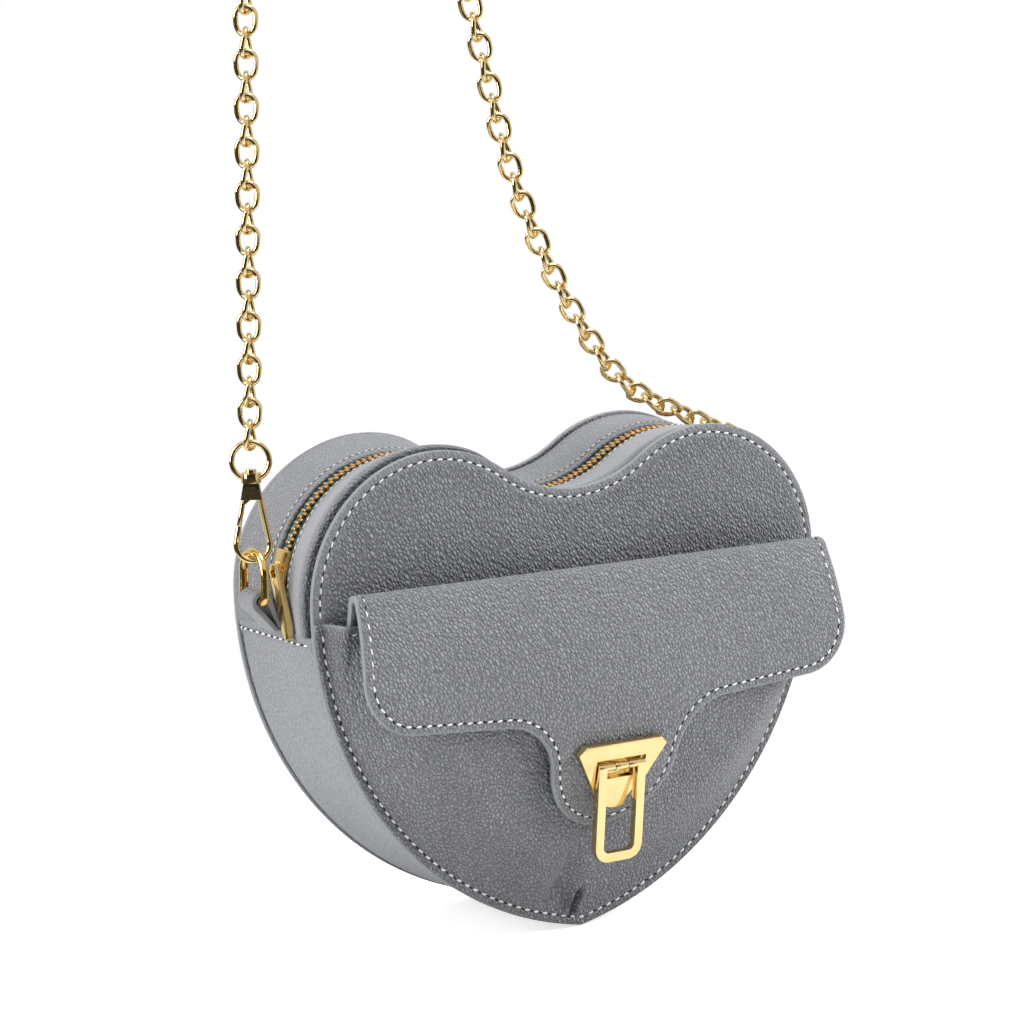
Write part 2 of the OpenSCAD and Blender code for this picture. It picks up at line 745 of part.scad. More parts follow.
module zip_slider() {
    h = slider_half;
    post_y = zip_slot / 2 - 0.2;
    foot_r = lobe_zip_r - tape_t - run_gap;
    color("goldenrod") hang() difference() {
        union() {
            slider_part(wing_r, wing_r + wing_t, -wing_y - wing_t, wing_y + wing_t, h, h);
            slider_part(lobe_zip_r + run_gap, wing_r, wing_y, wing_y + wing_t, h, h);
            slider_part(lobe_zip_r + run_gap, wing_r, -wing_y - wing_t, -wing_y, h, h);
            slider_part(foot_r - wing_t, foot_r, -wing_y - wing_t, wing_y + wing_t, h, h);
            slider_part(foot_r, wing_r, -post_y, post_y, h / 2, h);
            on_lug() rotate([0, -90, 0]) translate([0, 0, -lug_r / 2 - pull_pin_r])
                cylinder(r = lug_r, h = lug_h + wing_t / 2);
        }
        on_pull() rotate([90, 0, 0])
            cylinder(r = pull_pin_r + pin_gap, h = 4 * lug_r, center = true);
    }
}

// Pull: a long tapered bar with two ears and a pin through the slider's lug
module zip_pull() {
    ear_t = 1.1;
    ear_l = 4;
    gap = 2 * lug_r + 2 * run_gap;
    top_w = gap + 2 * ear_t;
    color("goldenrod") hang() on_pull() {
        difference() {
            union() {
                translate([-pull_t / 2, 0, 0]) rotate([90, 0, 90]) linear_extrude(pull_t)
                    polygon([[-top_w / 2, 0], [top_w / 2, 0], [pull_w / 2, -pull_l + pull_w],
                        [pull_w / 4, -pull_l], [-pull_w / 4, -pull_l],
                        [-pull_w / 2, -pull_l + pull_w]]);
                for (s = [-1, 1]) translate([0, s * (top_w - ear_t) / 2, 0]) rotate([90, 0, 0])
                    cylinder(r = pull_t / 2, h = ear_t, center = true);
            }
            translate([-pull_t, -gap / 2, -ear_l]) cube([2 * pull_t, gap, 2 * ear_l]);
        }
        rotate([90, 0, 0]) cylinder(r = pull_pin_r, h = top_w - ear_t, center = true);
    }
}

// Wire pieces
module rod(a, b, d) {
    v = b - a;
    translate(a) rotate([0, atan2(norm([v[0], v[1]]), v[2]), atan2(v[1], v[0])])
        cylinder(r = d / 2, h = norm(v));
}

// Bent wire in the x-z plane about a centre, from angle a0 to a1
module bend(c, r, d, a0, a1) {
    translate([c[0], 0, c[1]]) rotate([90, 0, 0]) rotate([0, 0, a0])
        rotate_extrude(angle = a1 - a0) translate([r, 0]) circle(r = d / 2);
}

// D-ring about its bar: the bar lies along y and the ring stands up
dring_bar_z = -3.5;
// Height of the left D-ring above the right one, which the weight of the slack chain pulls down
left_lift = 4;
left_bar_z = dring_bar_z + left_lift;
dring_x = side_x + dring_out;
dring_y = (dring_in_w + dring_wire) / 2;
dring_corner = 2.1;
dring_arc_z = dring_in_h + dring_wire / 2 - dring_y;

module d_ring() {
    rotate([0, 0, 90]) {
        bend([0, dring_arc_z], dring_y, dring_wire, 0, 180);
        for (s = [-1, 1]) {
            rod([s * dring_y, 0, dring_corner], [s * dring_y, 0, dring_arc_z], dring_wire);
            bend([s * (dring_y - dring_corner), dring_corner], dring_corner, dring_wire,
                s > 0 ? -90 : 180, s > 0 ? 0 : 270);
        }
        rod([dring_corner - dring_y, 0, 0], [dring_y - dring_corner, 0, 0], dring_wire);
    }
}

module left_d_ring() {
    color("gold") hang() translate([-dring_x, mid_y, left_bar_z]) d_ring();
}

module right_d_ring() {
    color("gold") hang() translate([dring_x, mid_y, dring_bar_z]) rotate([0, right_tilt, 0])
        d_ring();
}

// Leather tab: a strip looped round the D-ring's bar, its two ends caught in the seam
// Steps of the leather's bend round the bar
tab_steps = 40;

// Outline of a loop that runs round the bar at a radius and down to two places, given left then right
function loop_outline(r, left, right) =
    let (from = atan2(right[1], right[0]) + acos(r / norm(right)),
        to = atan2(left[1], left[0]) - acos(r / norm(left)) + 360)
    concat(left == right ? [left] : [left, right],
        [for (i = [0:tab_steps]) r * ahead(from + (to - from) * i / tab_steps)]);

module tab(bar_z) {
    r_in = dring_wire / 2 + run_gap;
    foot = [half_width(seam_drop, 0) + run_gap - dring_x, -seam_drop - bar_z];
    along = foot / norm(foot);
    across = [along[1], -along[0]];
    void_end = along * (norm(foot) - tab_t);
    rotate([90, 0, 0]) difference() {
        linear_extrude(tab_w, center = true)
            polygon(loop_outline(r_in + tab_t, foot + across * tab_t, foot - across * tab_t));
        linear_extrude(tab_w + over, center = true)
            polygon(loop_outline(r_in, void_end, void_end));
    }
}

module left_tab() {
    color("slategray") hang() translate([-dring_x, mid_y, left_bar_z]) mirror([1, 0, 0])
        tab(left_bar_z);
}

module right_tab() {
    color("slategray") hang() translate([dring_x, mid_y, dring_bar_z]) tab(dring_bar_z);
}

// Clasp frame: origin where the D-ring's wire meets the clasp, z up along the clasp
hook_gap = 0.5;
clasp_cz = clasp_r - clasp_wire / 2 - hook_gap;
head_z = clasp_cz + clasp_h;
neck_x = head_w / 2 - clasp_wire / 2;
neck_dir = atan2(clasp_h, neck_x) - acos(clasp_r / norm([neck_x, clasp_h]));
neck_tangent = [clasp_r * cos(neck_dir), clasp_cz + clasp_r * sin(neck_dir)];
// Share of the gate side's leg that the gate leaves to the hook
gate_share = 0.34;
gate_gap = 0.3;
leg_top = [neck_x, head_z + clasp_wire / 2];
rivet_z = head_z + head_h * 0.42;
rivet_r = 0.8;
gate_eye_r = rivet_r + 0.8;
cheek_t = 1;
gate_t = 1.3;
head_t = 2 * cheek_t + gate_t + 2 * gate_gap;
post_r = 1.2;
collar_z = head_z + head_h + run_gap / 2;
post_top = collar_z + collar_h + run_gap / 2;
eye_z = collar_z + collar_h / 2 - eye_wire / 2 + eye_r + 0.2;
// Twist of each clasp about its own length
left_twist = -33;
right_twist = 26;
// Twist of the right swivel ring, which lies flatter over the lobe
right_ring_twist = 50;

// Centre of each D-ring's wire where the clasp hangs, and the clasp's origin beside it
dring_top = dring_in_h + dring_wire / 2;
left_hook_at = [-dring_x, left_bar_z + dring_top] - dring_wire / 2 * [-sin(left_lean), cos(left_lean)];
right_hook_at = [dring_x, dring_bar_z] + dring_top * [sin(right_tilt), cos(right_tilt)]
    - dring_wire / 2 * [-sin(right_lean), cos(right_lean)];

module on_left() {
    translate([left_hook_at[0], mid_y, left_hook_at[1]]) rotate([0, -left_lean, 0])
        rotate([0, 0, left_twist]) children();
}

module on_right() {
    translate([right_hook_at[0], mid_y, right_hook_at[1]]) rotate([0, -right_lean, 0])
        rotate([0, 0, right_twist]) mirror([1, 0, 0]) children();
}

function gate_point(share) =
    [-(neck_tangent[0] + (leg_top[0] - neck_tangent[0]) * share), 0,
        neck_tangent[1] + (leg_top[1] - neck_tangent[1]) * share];

// Hook: loop, head and swivel post in one casting, open where the gate closes it
module clasp() {
    difference() {
        union() {
            bend([0, clasp_cz], clasp_r, clasp_wire, -180 - neck_dir, neck_dir);
            rod([neck_tangent[0], 0, neck_tangent[1]], [leg_top[0], 0, leg_top[1]], clasp_wire);
            rod(gate_point(0), gate_point(gate_share), clasp_wire);
            rotate([90, 0, 0]) linear_extrude(head_t, center = true) polygon([
                [-head_w / 2, head_z], [head_w / 2, head_z],
                [head_w * 0.36, head_z + head_h], [-head_w * 0.36, head_z + head_h]]);
            translate([0, 0, head_z + head_h - over])
                cylinder(r = post_r, h = post_top - head_z - head_h + 2 * over);
            translate([0, 0, post_top]) cylinder(r = post_r * 1.5, h = over);
        }
        translate([-head_w, -gate_t / 2 - gate_gap, head_z - over])
            cube([head_w + gate_eye_r + gate_gap, gate_t + 2 * gate_gap,
                rivet_z + gate_eye_r + gate_gap - head_z + over]);
        translate([0, 0, rivet_z]) rotate([90, 0, 0])
            cylinder(r = rivet_r + held_gap, h = head_t + over, center = true);
    }
}

module clasp_rivet() {
    cap_r = 1.5;
    cap_t = 0.4;
    rotate([90, 0, 0]) translate([0, rivet_z, 0]) {
        cylinder(r = rivet_r, h = head_t + 2 * seat_gap, center = true);
        for (s = [0, 1]) mirror([0, 0, s]) translate([0, 0, head_t / 2 + seat_gap])
            cylinder(r = cap_r, h = cap_t);
    }
}

// Gate: the sprung leg that closes the hook, turning on the rivet inside the head
module gate() {
    start = gate_point(gate_share) + [0, 0, gate_gap];
    difference() {
        union() {
            rod(start, gate_point(0.86), clasp_wire * 0.8);
            rotate([90, 0, 0]) linear_extrude(gate_t, center = true) polygon([
                [gate_point(0.8)[0] - clasp_wire * 0.4, gate_point(0.8)[2]],
                [gate_point(0.8)[0] + clasp_wire * 0.4, gate_point(0.8)[2]],
                [gate_eye_r * 0.6, rivet_z - gate_eye_r * 0.7], [0, rivet_z + gate_eye_r * 0.8],
                [-gate_eye_r, rivet_z]]);
            translate([0, 0, rivet_z]) rotate([90, 0, 0])
                cylinder(r = gate_eye_r, h = gate_t, center = true);
        }
        translate([0, 0, rivet_z]) rotate([90, 0, 0])
            cylinder(r = rivet_r + pin_gap, h = gate_t + over, center = true);
    }
}

// Gate spring: one thin turn round the rivet beside the gate
module gate_spring() {
    wire = gate_gap * 0.8;
    translate([0, gate_t / 2 + gate_gap / 2, rivet_z]) rotate([90, 0, 0])
        rotate_extrude() translate([rivet_r + wire, 0]) circle(r = wire / 2);
}

// Swivel ring: a round eye and its collar, free to turn on the hook's post
module swivel_ring() {
    cut = asin((eye_z - collar_z - collar_h / 2) / eye_r);
    difference() {
        union() {
            bend([0, eye_z], eye_r, eye_wire, -cut, 180 + cut);
            translate([0, 0, collar_z]) cylinder(r = head_w * 0.47, h = collar_h);
        }
        translate([0, 0, collar_z - over]) cylinder(r = post_r + pin_gap, h = collar_h + 2 * over);
    }
}

module left_clasp() {
    color("gold") hang() on_left() clasp();
}

module left_clasp_rivet() {
    color("gold") hang() on_left() clasp_rivet();
}

module left_gate_spring() {
    color("silver") hang() on_left() gate_spring();
}

module left_gate() {
    color("gold") hang() on_left() gate();
}

module left_swivel_ring() {
    color("gold") hang() on_left() swivel_ring();
}

module right_clasp() {
    color("gold") hang() on_right() clasp();
}

module right_clasp_rivet() {
    color("gold") hang() on_right() clasp_rivet();
}

module right_gate_spring() {
    color("silver") hang() on_right() gate_spring();
}

module right_gate() {
    color("gold") hang() on_right() gate();
}

module right_swivel_ring() {
    color("gold") hang() on_right() rotate([0, 0, right_twist - right_ring_twist]) swivel_ring();
}

// Chain: the line that the links' centres follow, from the left clasp to the right one
link_gap = 0.1;
link_reach = (link_l - link_wire) / 2;
link_step = 2 * link_reach - link_wire - link_gap;
// Height on a clasp, inside its swivel ring, of the end link's wire
end_z = eye_z + eye_r - (eye_wire + link_wire) / 2 - run_gap;
// Headings of the chain up the left strand, down the right one, between its two bends and along
// the lobe, in degrees from +x
up_dir = 88.7;
down_dir = strand_lean - 90;
sag_dir = sag_lean - 90;
drape_dir = -23;

function ahead(dir) = [cos(dir), sin(dir)];
function left_of(dir) = [-sin(dir), cos(dir)];
// Step from the start to the end of a bend to the left
function bend_step(r, from, to) = r * (left_of(from) - left_of(to));

chain_start = left_hook_at + end_z * left_of(left_lean) + link_reach * ahead(up_dir);
chain_end = right_hook_at + end_z * left_of(right_lean) - link_reach * ahead(drape_dir);
arch_in = chain_start + left_strand_l * ahead(up_dir);
arch_c = arch_in - arch_r * left_of(up_dir);
arch_out = arch_c + arch_r * left_of(down_dir);
arch_run = run_of(up_dir - down_dir, arch_r);
sag_step = bend_step(sag_r, down_dir, sag_dir);
settle_step = bend_step(settle_r, sag_dir, drape_dir);
straight_step = chain_end - arch_out - sag_step - settle_step;
straight_turn = cross(ahead(down_dir), ahead(drape_dir));
right_run = cross(straight_step, ahead(drape_dir)) / straight_turn;
drape_run = cross(ahead(down_dir), straight_step) / straight_turn;
sag_start = arch_out + right_run * ahead(down_dir);
settle_start = sag_start + sag_step;
drape_start = settle_start + settle_step;
// Runs from the left clasp to the end of each stretch
arch_end = left_strand_l + arch_run;
right_end = arch_end + right_run;
sag_end = right_end + run_of(sag_dir - down_dir, sag_r);
settle_end = sag_end + run_of(drape_dir - sag_dir, settle_r);
chain_run = settle_end + drape_run;
link_pairs = ceil(chain_run / link_step / 2);
link_count = 2 * link_pairs + 1;
link_pitch = chain_run / (link_count - 1);

// Place and heading after a run s from a start, straight on or in a bend to the left
function straight_on(start, dir, s) = concat(start + s * ahead(dir), [dir]);
function bent_on(start, dir, r, s) =
    let (to = dir + turn_of(s, r)) concat(start + bend_step(r, dir, to), [to]);

// Place and heading of the chain after a run s: x, z, degrees from +x
function chain_at(s) =
    s < left_strand_l ? straight_on(chain_start, up_dir, s)
    : s < arch_end ?
        let (dir = up_dir - turn_of(s - left_strand_l, arch_r))
        concat(arch_c + arch_r * left_of(dir), [dir])
    : s < right_end ? straight_on(arch_out, down_dir, s - arch_end)
    : s < sag_end ? bent_on(sag_start, down_dir, sag_r, s - right_end)
    : s < settle_end ? bent_on(settle_start, sag_dir, settle_r, s - sag_end)
    : straight_on(drape_start, drape_dir, s - settle_end);

// Link lying along z, its plane turned from x by a roll
module chain_link(roll) {
    r = (link_w - link_wire) / 2;
    half = link_reach - r;
    rotate([0, 0, roll]) {
        bend([0, half], r, link_wire, 0, 180);
        bend([0, -half], r, link_wire, 180, 360);
        for (s = [-1, 1]) rod([s * r, 0, -half], [s * r, 0, half], link_wire);
    }
}

// Links whose centres lie between two runs of the chain
module links(s0, s1) {
    first = ceil(s0 / link_pitch);
    last = ceil(s1 / link_pitch) - 1;
    for (i = [first:last]) {
        spot = chain_at(min(i * link_pitch, chain_run - seat_gap));
        translate([spot[0], mid_y, spot[1]]) rotate([0, 90 - spot[2], 0])
            chain_link(i % 2 == 0 ? 45 : -45);
    }
}

module chain_left() {
    color("gold") hang() links(0, left_strand_l);
}

module chain_arch() {
    color("gold") hang() links(left_strand_l, arch_end);
}

module chain_right() {
    color("gold") hang() links(arch_end, right_end);
}

module chain_drape() {
    color("gold") hang() links(right_end, chain_run + link_pitch / 2);
}

front_panel();
back_panel();
lower_gusset();
front_zip_strip();
back_zip_strip();
front_zip_tape();
back_zip_tape();
front_zip_teeth();
back_zip_teeth();
zip_stops();
lining();
front_pocket();
flap_root();
pocket_magnet();
left_tab();
right_tab();
flap_fold();
flap();
flap_backing();
flap_magnet();
lock_plate();
lock_back_plate();
lock_screws();
lock_pin();
lock_ring();
zip_slider();
zip_pull();
left_d_ring();
right_d_ring();
left_clasp();
left_clasp_rivet();
left_gate_spring();
left_gate();
left_swivel_ring();
right_clasp();
right_clasp_rivet();
right_gate_spring();
right_gate();
right_swivel_ring();
chain_left();
chain_arch();
chain_right();
chain_drape();
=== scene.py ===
"""Heart shaped shoulder purse in pebbled leather, with a flapped pocket, ring lock and curb chain."""
import json
from math import acos, atan2, ceil, cos, degrees, exp, hypot, pi, radians, sin, sqrt

import bmesh
import bpy
from mathutils import Matrix, Vector, noise

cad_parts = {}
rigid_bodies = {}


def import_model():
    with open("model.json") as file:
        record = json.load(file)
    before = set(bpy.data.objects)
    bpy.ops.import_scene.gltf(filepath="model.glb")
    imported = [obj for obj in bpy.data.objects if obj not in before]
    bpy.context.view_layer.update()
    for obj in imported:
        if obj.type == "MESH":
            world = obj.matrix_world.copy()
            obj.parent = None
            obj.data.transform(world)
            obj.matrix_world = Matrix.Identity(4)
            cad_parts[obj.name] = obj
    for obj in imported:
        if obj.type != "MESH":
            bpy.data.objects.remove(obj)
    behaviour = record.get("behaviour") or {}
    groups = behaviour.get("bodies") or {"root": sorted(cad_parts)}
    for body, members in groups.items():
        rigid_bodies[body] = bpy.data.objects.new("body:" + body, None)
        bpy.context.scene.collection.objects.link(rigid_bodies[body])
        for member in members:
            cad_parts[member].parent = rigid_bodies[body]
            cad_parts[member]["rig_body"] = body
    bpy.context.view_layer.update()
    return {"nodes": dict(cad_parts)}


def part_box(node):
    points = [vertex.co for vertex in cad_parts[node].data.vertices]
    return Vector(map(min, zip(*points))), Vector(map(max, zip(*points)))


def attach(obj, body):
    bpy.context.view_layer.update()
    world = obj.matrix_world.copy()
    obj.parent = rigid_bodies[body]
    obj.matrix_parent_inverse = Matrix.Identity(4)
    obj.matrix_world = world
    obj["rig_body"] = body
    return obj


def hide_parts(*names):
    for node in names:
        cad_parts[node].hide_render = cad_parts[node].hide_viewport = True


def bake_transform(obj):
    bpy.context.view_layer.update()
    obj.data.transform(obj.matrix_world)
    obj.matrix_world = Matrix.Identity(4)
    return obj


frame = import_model()
MM = 0.001


# View, floor and light
# The purse hangs with its tip just over a plain white floor, seen a little from its left side.
# Soft panels light it from the left, from above and, without a gleam on metal, from the right.
panel_low, panel_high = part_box("front_panel")
panel_top = Vector(((panel_low.x + panel_high.x) / 2, panel_low.y, panel_high.z))
eye = panel_top + Vector((-587.8, -862.9, 130.6)) * MM
looked_at = panel_top + Vector((-13.4, 18.2, -26.5)) * MM
roll = radians(1.07)
lens_mm = 109.3
sensor_mm = 36

camera_data = bpy.data.cameras.new("camera")
camera_data.lens = lens_mm
camera_data.sensor_width = sensor_mm
camera = bpy.data.objects.new("camera", camera_data)
bpy.context.scene.collection.objects.link(camera)
camera.matrix_world = (Matrix.Translation(eye)
                       @ (looked_at - eye).to_track_quat("-Z", "Y").to_matrix().to_4x4()
                       @ Matrix.Rotation(-roll, 4, "Z"))
bpy.context.scene.camera = camera
bpy.context.scene.view_settings.view_transform = "Standard"


def join(tree, node, inputs):
    """Sets each input of a node to a value or joins it to a socket."""
    for label, value in inputs.items():
        if isinstance(value, bpy.types.NodeSocket):
            tree.links.new(value, node.inputs[label])
        else:
            node.inputs[label].default_value = value
    return node


def wired(tree, kind, inputs, **settings):
    """New shader node of a kind, with its settings and inputs."""
    node = tree.nodes.new("ShaderNode" + kind)
    for label, choice in settings.items():
        setattr(node, label, choice)
    return join(tree, node, inputs)


def ramp(tree, value, low_end, high_end, to_low=0.0, to_high=1.0, **settings):
    """Map Range node that runs straight between two limits."""
    return wired(tree, "MapRange", {"Value": value, "From Min": low_end, "From Max": high_end,
                                    "To Min": to_low, "To Max": to_high}, **settings).outputs["Result"]


def spread(*values):
    """Map Range node that runs smoothly between two limits."""
    return ramp(*values, interpolation_type="SMOOTHSTEP")


def sum_of(tree, kind, first, second):
    """Math node of one kind on two sockets or numbers."""
    return wired(tree, "Math", {0: first, 1: second}, operation=kind).outputs[0]


camera_side = (-0.86, -0.51, 0)
side_from, side_to = 0.05, 0.2


def toward_camera(tree, direction):
    """How far a direction points to the camera's side, from -1 to 1."""
    along = wired(tree, "VectorMath", {0: direction, 1: camera_side}, operation="DOT_PRODUCT")
    return along.outputs["Value"]


floor_drop, floor_reach = 0.6 * MM, 6.0
floor_middle = Vector((panel_top.x, 0, panel_low.z - floor_drop))
fade_from, fade_to = 0.16, 0.45
floor_tone, floor_glow, floor_dark = 0.9, 0.6, 0.95


def floor_finish():
    """Matt white paint that fades to plain white, and that metal mirrors darker on the camera's side."""
    paint = bpy.data.materials.new("floor_paint")
    paint.use_nodes = True
    tree = paint.node_tree
    tree.nodes.clear()
    rays = tree.nodes.new("ShaderNodeLightPath").outputs
    place = tree.nodes.new("ShaderNodeTexCoord").outputs["Object"]
    centred = wired(tree, "VectorMath", {0: place, 1: floor_middle}, operation="SUBTRACT").outputs[0]
    away = wired(tree, "VectorMath", {0: centred}, operation="LENGTH").outputs["Value"]
    matt = wired(tree, "BsdfDiffuse", {"Color": (floor_tone, floor_tone, floor_tone, 1)})
    glow = wired(tree, "Emission",
                 {"Strength": sum_of(tree, "MULTIPLY", rays["Is Camera Ray"], floor_glow)})
    lit = wired(tree, "AddShader", {0: matt.outputs[0], 1: glow.outputs[0]})
    unit = wired(tree, "VectorMath", {0: centred}, operation="NORMALIZE").outputs[0]
    shade = ramp(tree, toward_camera(tree, unit), side_from, side_to, 0.0, floor_dark)
    hidden = sum_of(tree, "MULTIPLY", rays["Is Glossy Ray"], shade)
    plain = wired(tree, "Emission", {"Strength": sum_of(tree, "SUBTRACT", 1.0, hidden)})
    blend = wired(tree, "MixShader", {0: spread(tree, away, fade_from, fade_to),
                                      1: lit.outputs[0], 2: plain.outputs[0]})
    wired(tree, "OutputMaterial", {"Surface": blend.outputs[0]})
    return paint


def shown(name, bm, smooth):
    """Object of a finished shape, smooth but for edges sharper than an angle."""
    mesh = bpy.data.meshes.new(name)
    bm.to_mesh(mesh)
    bm.free()
    for face in mesh.polygons:
        face.use_smooth = True
    if smooth:
        mesh.set_sharp_from_angle(angle=radians(smooth))
    made = bpy.data.objects.new(name, mesh)
    bpy.context.scene.collection.objects.link(made)
    return made


bm = bmesh.new()
bmesh.ops.create_grid(bm, x_segments=2, y_segments=2, size=floor_reach,
                      matrix=Matrix.Translation(floor_middle))
floor = shown("floor", bm, 0)
floor.data.materials.append(floor_finish())

soft_sky = 0.3
flag_bottom, flag_top, flag_left = 0.42, 0.3, 0.03


def studio_world():
    """Soft even light, white to the camera and dark where metal mirrors the low sky beside the camera."""
    world = bpy.data.worlds.new("studio")
    world.use_nodes = True
    tree = world.node_tree
    tree.nodes.clear()
    rays = tree.nodes.new("ShaderNodeLightPath").outputs
    around = tree.nodes.new("ShaderNodeTexCoord").outputs["Generated"]
    height = wired(tree, "SeparateXYZ", {0: around}).outputs["Z"]
    flag = sum_of(tree, "MULTIPLY", ramp(tree, toward_camera(tree, around), side_from, side_to),
                  ramp(tree, height, flag_bottom, flag_top))
    soft = wired(tree, "Background", {"Color": (1, 1, 1, 1), "Strength": soft_sky})
    white = wired(tree, "Background", {"Color": (1, 1, 1, 1)})
    dim = wired(tree, "Background", {"Strength": ramp(tree, flag, 0.0, 1.0, 1.0, flag_left)})
    seen = sum_of(tree, "MAXIMUM", rays["Is Camera Ray"], rays["Is Glossy Ray"])
    clear = sum_of(tree, "MAXIMUM", seen, rays["Is Transmission Ray"])
    sky = wired(tree, "MixShader", {0: rays["Is Glossy Ray"], 1: white.outputs[0], 2: dim.outputs[0]})
    choose = wired(tree, "MixShader", {0: clear, 1: soft.outputs[0], 2: sky.outputs[0]})
    wired(tree, "OutputWorld", {"Surface": choose.outputs[0]})
    return world


bpy.context.scene.world = studio_world()
light_aim = Vector((0, 0.03, -0.07))


def soft_panel(name, spot, power, width, height, shines=True):
    """Rectangular soft light that faces the bag."""
    data = bpy.data.lights.new(name, "AREA")
    data.shape = "RECTANGLE"
    data.size, data.size_y = width, height
    data.energy = power
    lamp = bpy.data.objects.new(name, data)
    lamp.visible_glossy = shines
    bpy.context.scene.collection.objects.link(lamp)
    stand = panel_top + Vector(spot)
    aim = panel_top + light_aim - stand
    lamp.matrix_world = Matrix.Translation(stand) @ aim.to_track_quat("-Z", "Y").to_matrix().to_4x4()


soft_panel("left_light", (-1.5, 0.2, 0.35), 20, 0.8, 1.1)
soft_panel("top_light", (0.15, -0.1, 1.5), 22, 0.8, 0.8)
soft_panel("right_light", (0.8, -0.55, 0.4), 9, 0.35, 0.35, shines=False)


# Front panel
# One heart cut from pebbled leather, laid over the gusset's flange and sewn 3 mm inside its
# painted edge. Above the pocket it swells a little; lower down it is the pocket's back wall.
lobe_r, lobe_x, side_r, tip_r, valley_r = 48, 55, 124, 3, 48
bag_d, panel_t = 54, 1.8
side_cx = lobe_x + lobe_r - side_r
tip_cz = -sqrt((side_r - tip_r) ** 2 - side_cx ** 2)
valley_cz = sqrt((lobe_r + valley_r) ** 2 - lobe_x ** 2)
valley_turn = degrees(atan2(lobe_x, valley_cz))
lobe_end = 90 + valley_turn
heart_at = panel_top - Vector((0, 0, lobe_r * MM))
valley_steps, lobe_steps, side_steps, tip_steps = 14, 40, 44, 6


def put(name, bm, body, *hidden, finish, slot, smooth=35):
    """Moves a shape drawn in millimetres to its place, makes it a piece and fixes it to its body."""
    bmesh.ops.scale(bm, vec=(MM, MM, MM), verts=bm.verts)
    bmesh.ops.translate(bm, vec=heart_at, verts=bm.verts)
    piece = shown(name, bm, smooth)
    piece.data.materials.append(finish)
    if body:
        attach(piece, body)
    if hidden:
        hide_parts(*hidden)
    return piece


def swing(bm, line, centre, turn, steps):
    """Carries the last vertex of a line round a y-wise axis and adds the vertices that it leaves."""
    count = len(bm.verts)
    bmesh.ops.spin(bm, geom=[line[-1]], cent=(centre[0], line[-1].co.y, centre[1]),
                   axis=(0, 1, 0), angle=radians(turn), steps=steps)
    bm.verts.ensure_lookup_table()
    line += bm.verts[count:]


def side_stop(inset):
    """Direction, from the long side's centre, in which that side ends at the tip."""
    if inset < tip_r:
        return degrees(atan2(tip_cz, -side_cx))
    return -degrees(acos(-side_cx / (side_r - inset)))


def over_lobe(bm, inset, y):
    """Right half of the heart's line from the hollow to the end of the lobe."""
    line = bmesh.ops.create_vert(bm, co=(0, y, valley_cz - valley_r - inset))["vert"]
    swing(bm, line, (0, valley_cz), -valley_turn, valley_steps)
    swing(bm, line, (lobe_x, 0), lobe_end, lobe_steps)
    return line


def half_heart(bm, inset, y):
    """Right half of the heart's line: the hollow, the lobe, the long side and the tip."""
    line = over_lobe(bm, inset, y)
    swing(bm, line, (side_cx, 0), -side_stop(inset), side_steps)
    swing(bm, line, (0, tip_cz), side_stop(inset) + 90, tip_steps)
    return line


def skin(bm, lines):
    """Faces between each line and the next."""
    edges = [[e for e in bm.edges if e.verts[0] in set(line) and e.verts[1] in set(line)]
             for line in lines]
    for first, second in zip(edges, edges[1:]):
        bmesh.ops.bridge_loops(bm, edges=first + second)


def mirror_half(bm):
    """Adds the left half, joined to the right one along the middle."""
    bmesh.ops.mirror(bm, geom=bm.verts[:] + bm.edges[:] + bm.faces[:], axis="X", merge_dist=0.002)
    bmesh.ops.remove_doubles(bm, verts=bm.verts, dist=0.002)


def fill_holes(bm):
    """Closes every hole of a shape with one face."""
    bmesh.ops.holes_fill(bm, edges=[e for e in bm.edges if e.is_boundary], sides=0)


def face_out(bm):
    """Turns every face outward."""
    bmesh.ops.recalc_face_normals(bm, faces=bm.faces)


def edge_depth(x, z):
    """Distance from a point inside the heart to its edge."""
    x = abs(x)
    near = side_r - hypot(x - side_cx, z)
    if z > 0 and (x > lobe_x or degrees(atan2(z, x - lobe_x)) < lobe_end):
        near = min(near, lobe_r - hypot(x - lobe_x, z))
    if abs(degrees(atan2(x, valley_cz - z))) < valley_turn:
        near = min(near, hypot(x, valley_cz - z) - valley_r)
    return near


def slice_faces(bm, faces, point, normal):
    """Cuts some of a shape's faces by a plane."""
    parts = faces + list({e for f in faces for e in f.edges}) + list({v for f in faces for v in f.verts})
    bmesh.ops.bisect_plane(bm, geom=parts, plane_co=point, plane_no=normal)


def ease(low_end, high_end, value):
    """0 below low_end, 1 above high_end and smooth between them."""
    share = min(max((value - low_end) / (high_end - low_end), 0), 1)
    return share * share * (3 - 2 * share)


stitch_in = 3.0
groove_w, groove_d = 0.8, 0.45


def groove(d):
    """Dent that the sewing pulls into the leather at a distance from the edge."""
    return groove_d * exp(-((d - stitch_in) / groove_w) ** 2)


def waver(x, z, seed, size=30):
    """Slow unevenness of hand-sized leather, about one unit high."""
    return noise.noise(Vector((x / size, seed, z / size)))


edge_round, edge_round_w, swell_h, swell_w, swell_power = 0.35, 2, 2.2, 30, 0.8
front_wave, back_wave, back_swell = 0.25, 0.3, 1.15
swell_fade, edge_calm = (-16, 4), (6, 20)


def panel_swell(d):
    """How far a panel stands out at a distance from its edge."""
    return (edge_round * ease(0, edge_round_w, d) - groove(d)
            + swell_h * ease(stitch_in, swell_w, d) ** swell_power)


def front_face(x, z):
    """y of the front panel's face."""
    d = edge_depth(x, z)
    keep = ease(*swell_fade, z)
    return -(panel_swell(d) + front_wave * ease(*edge_calm, d) * waver(x, z, 3)) * keep


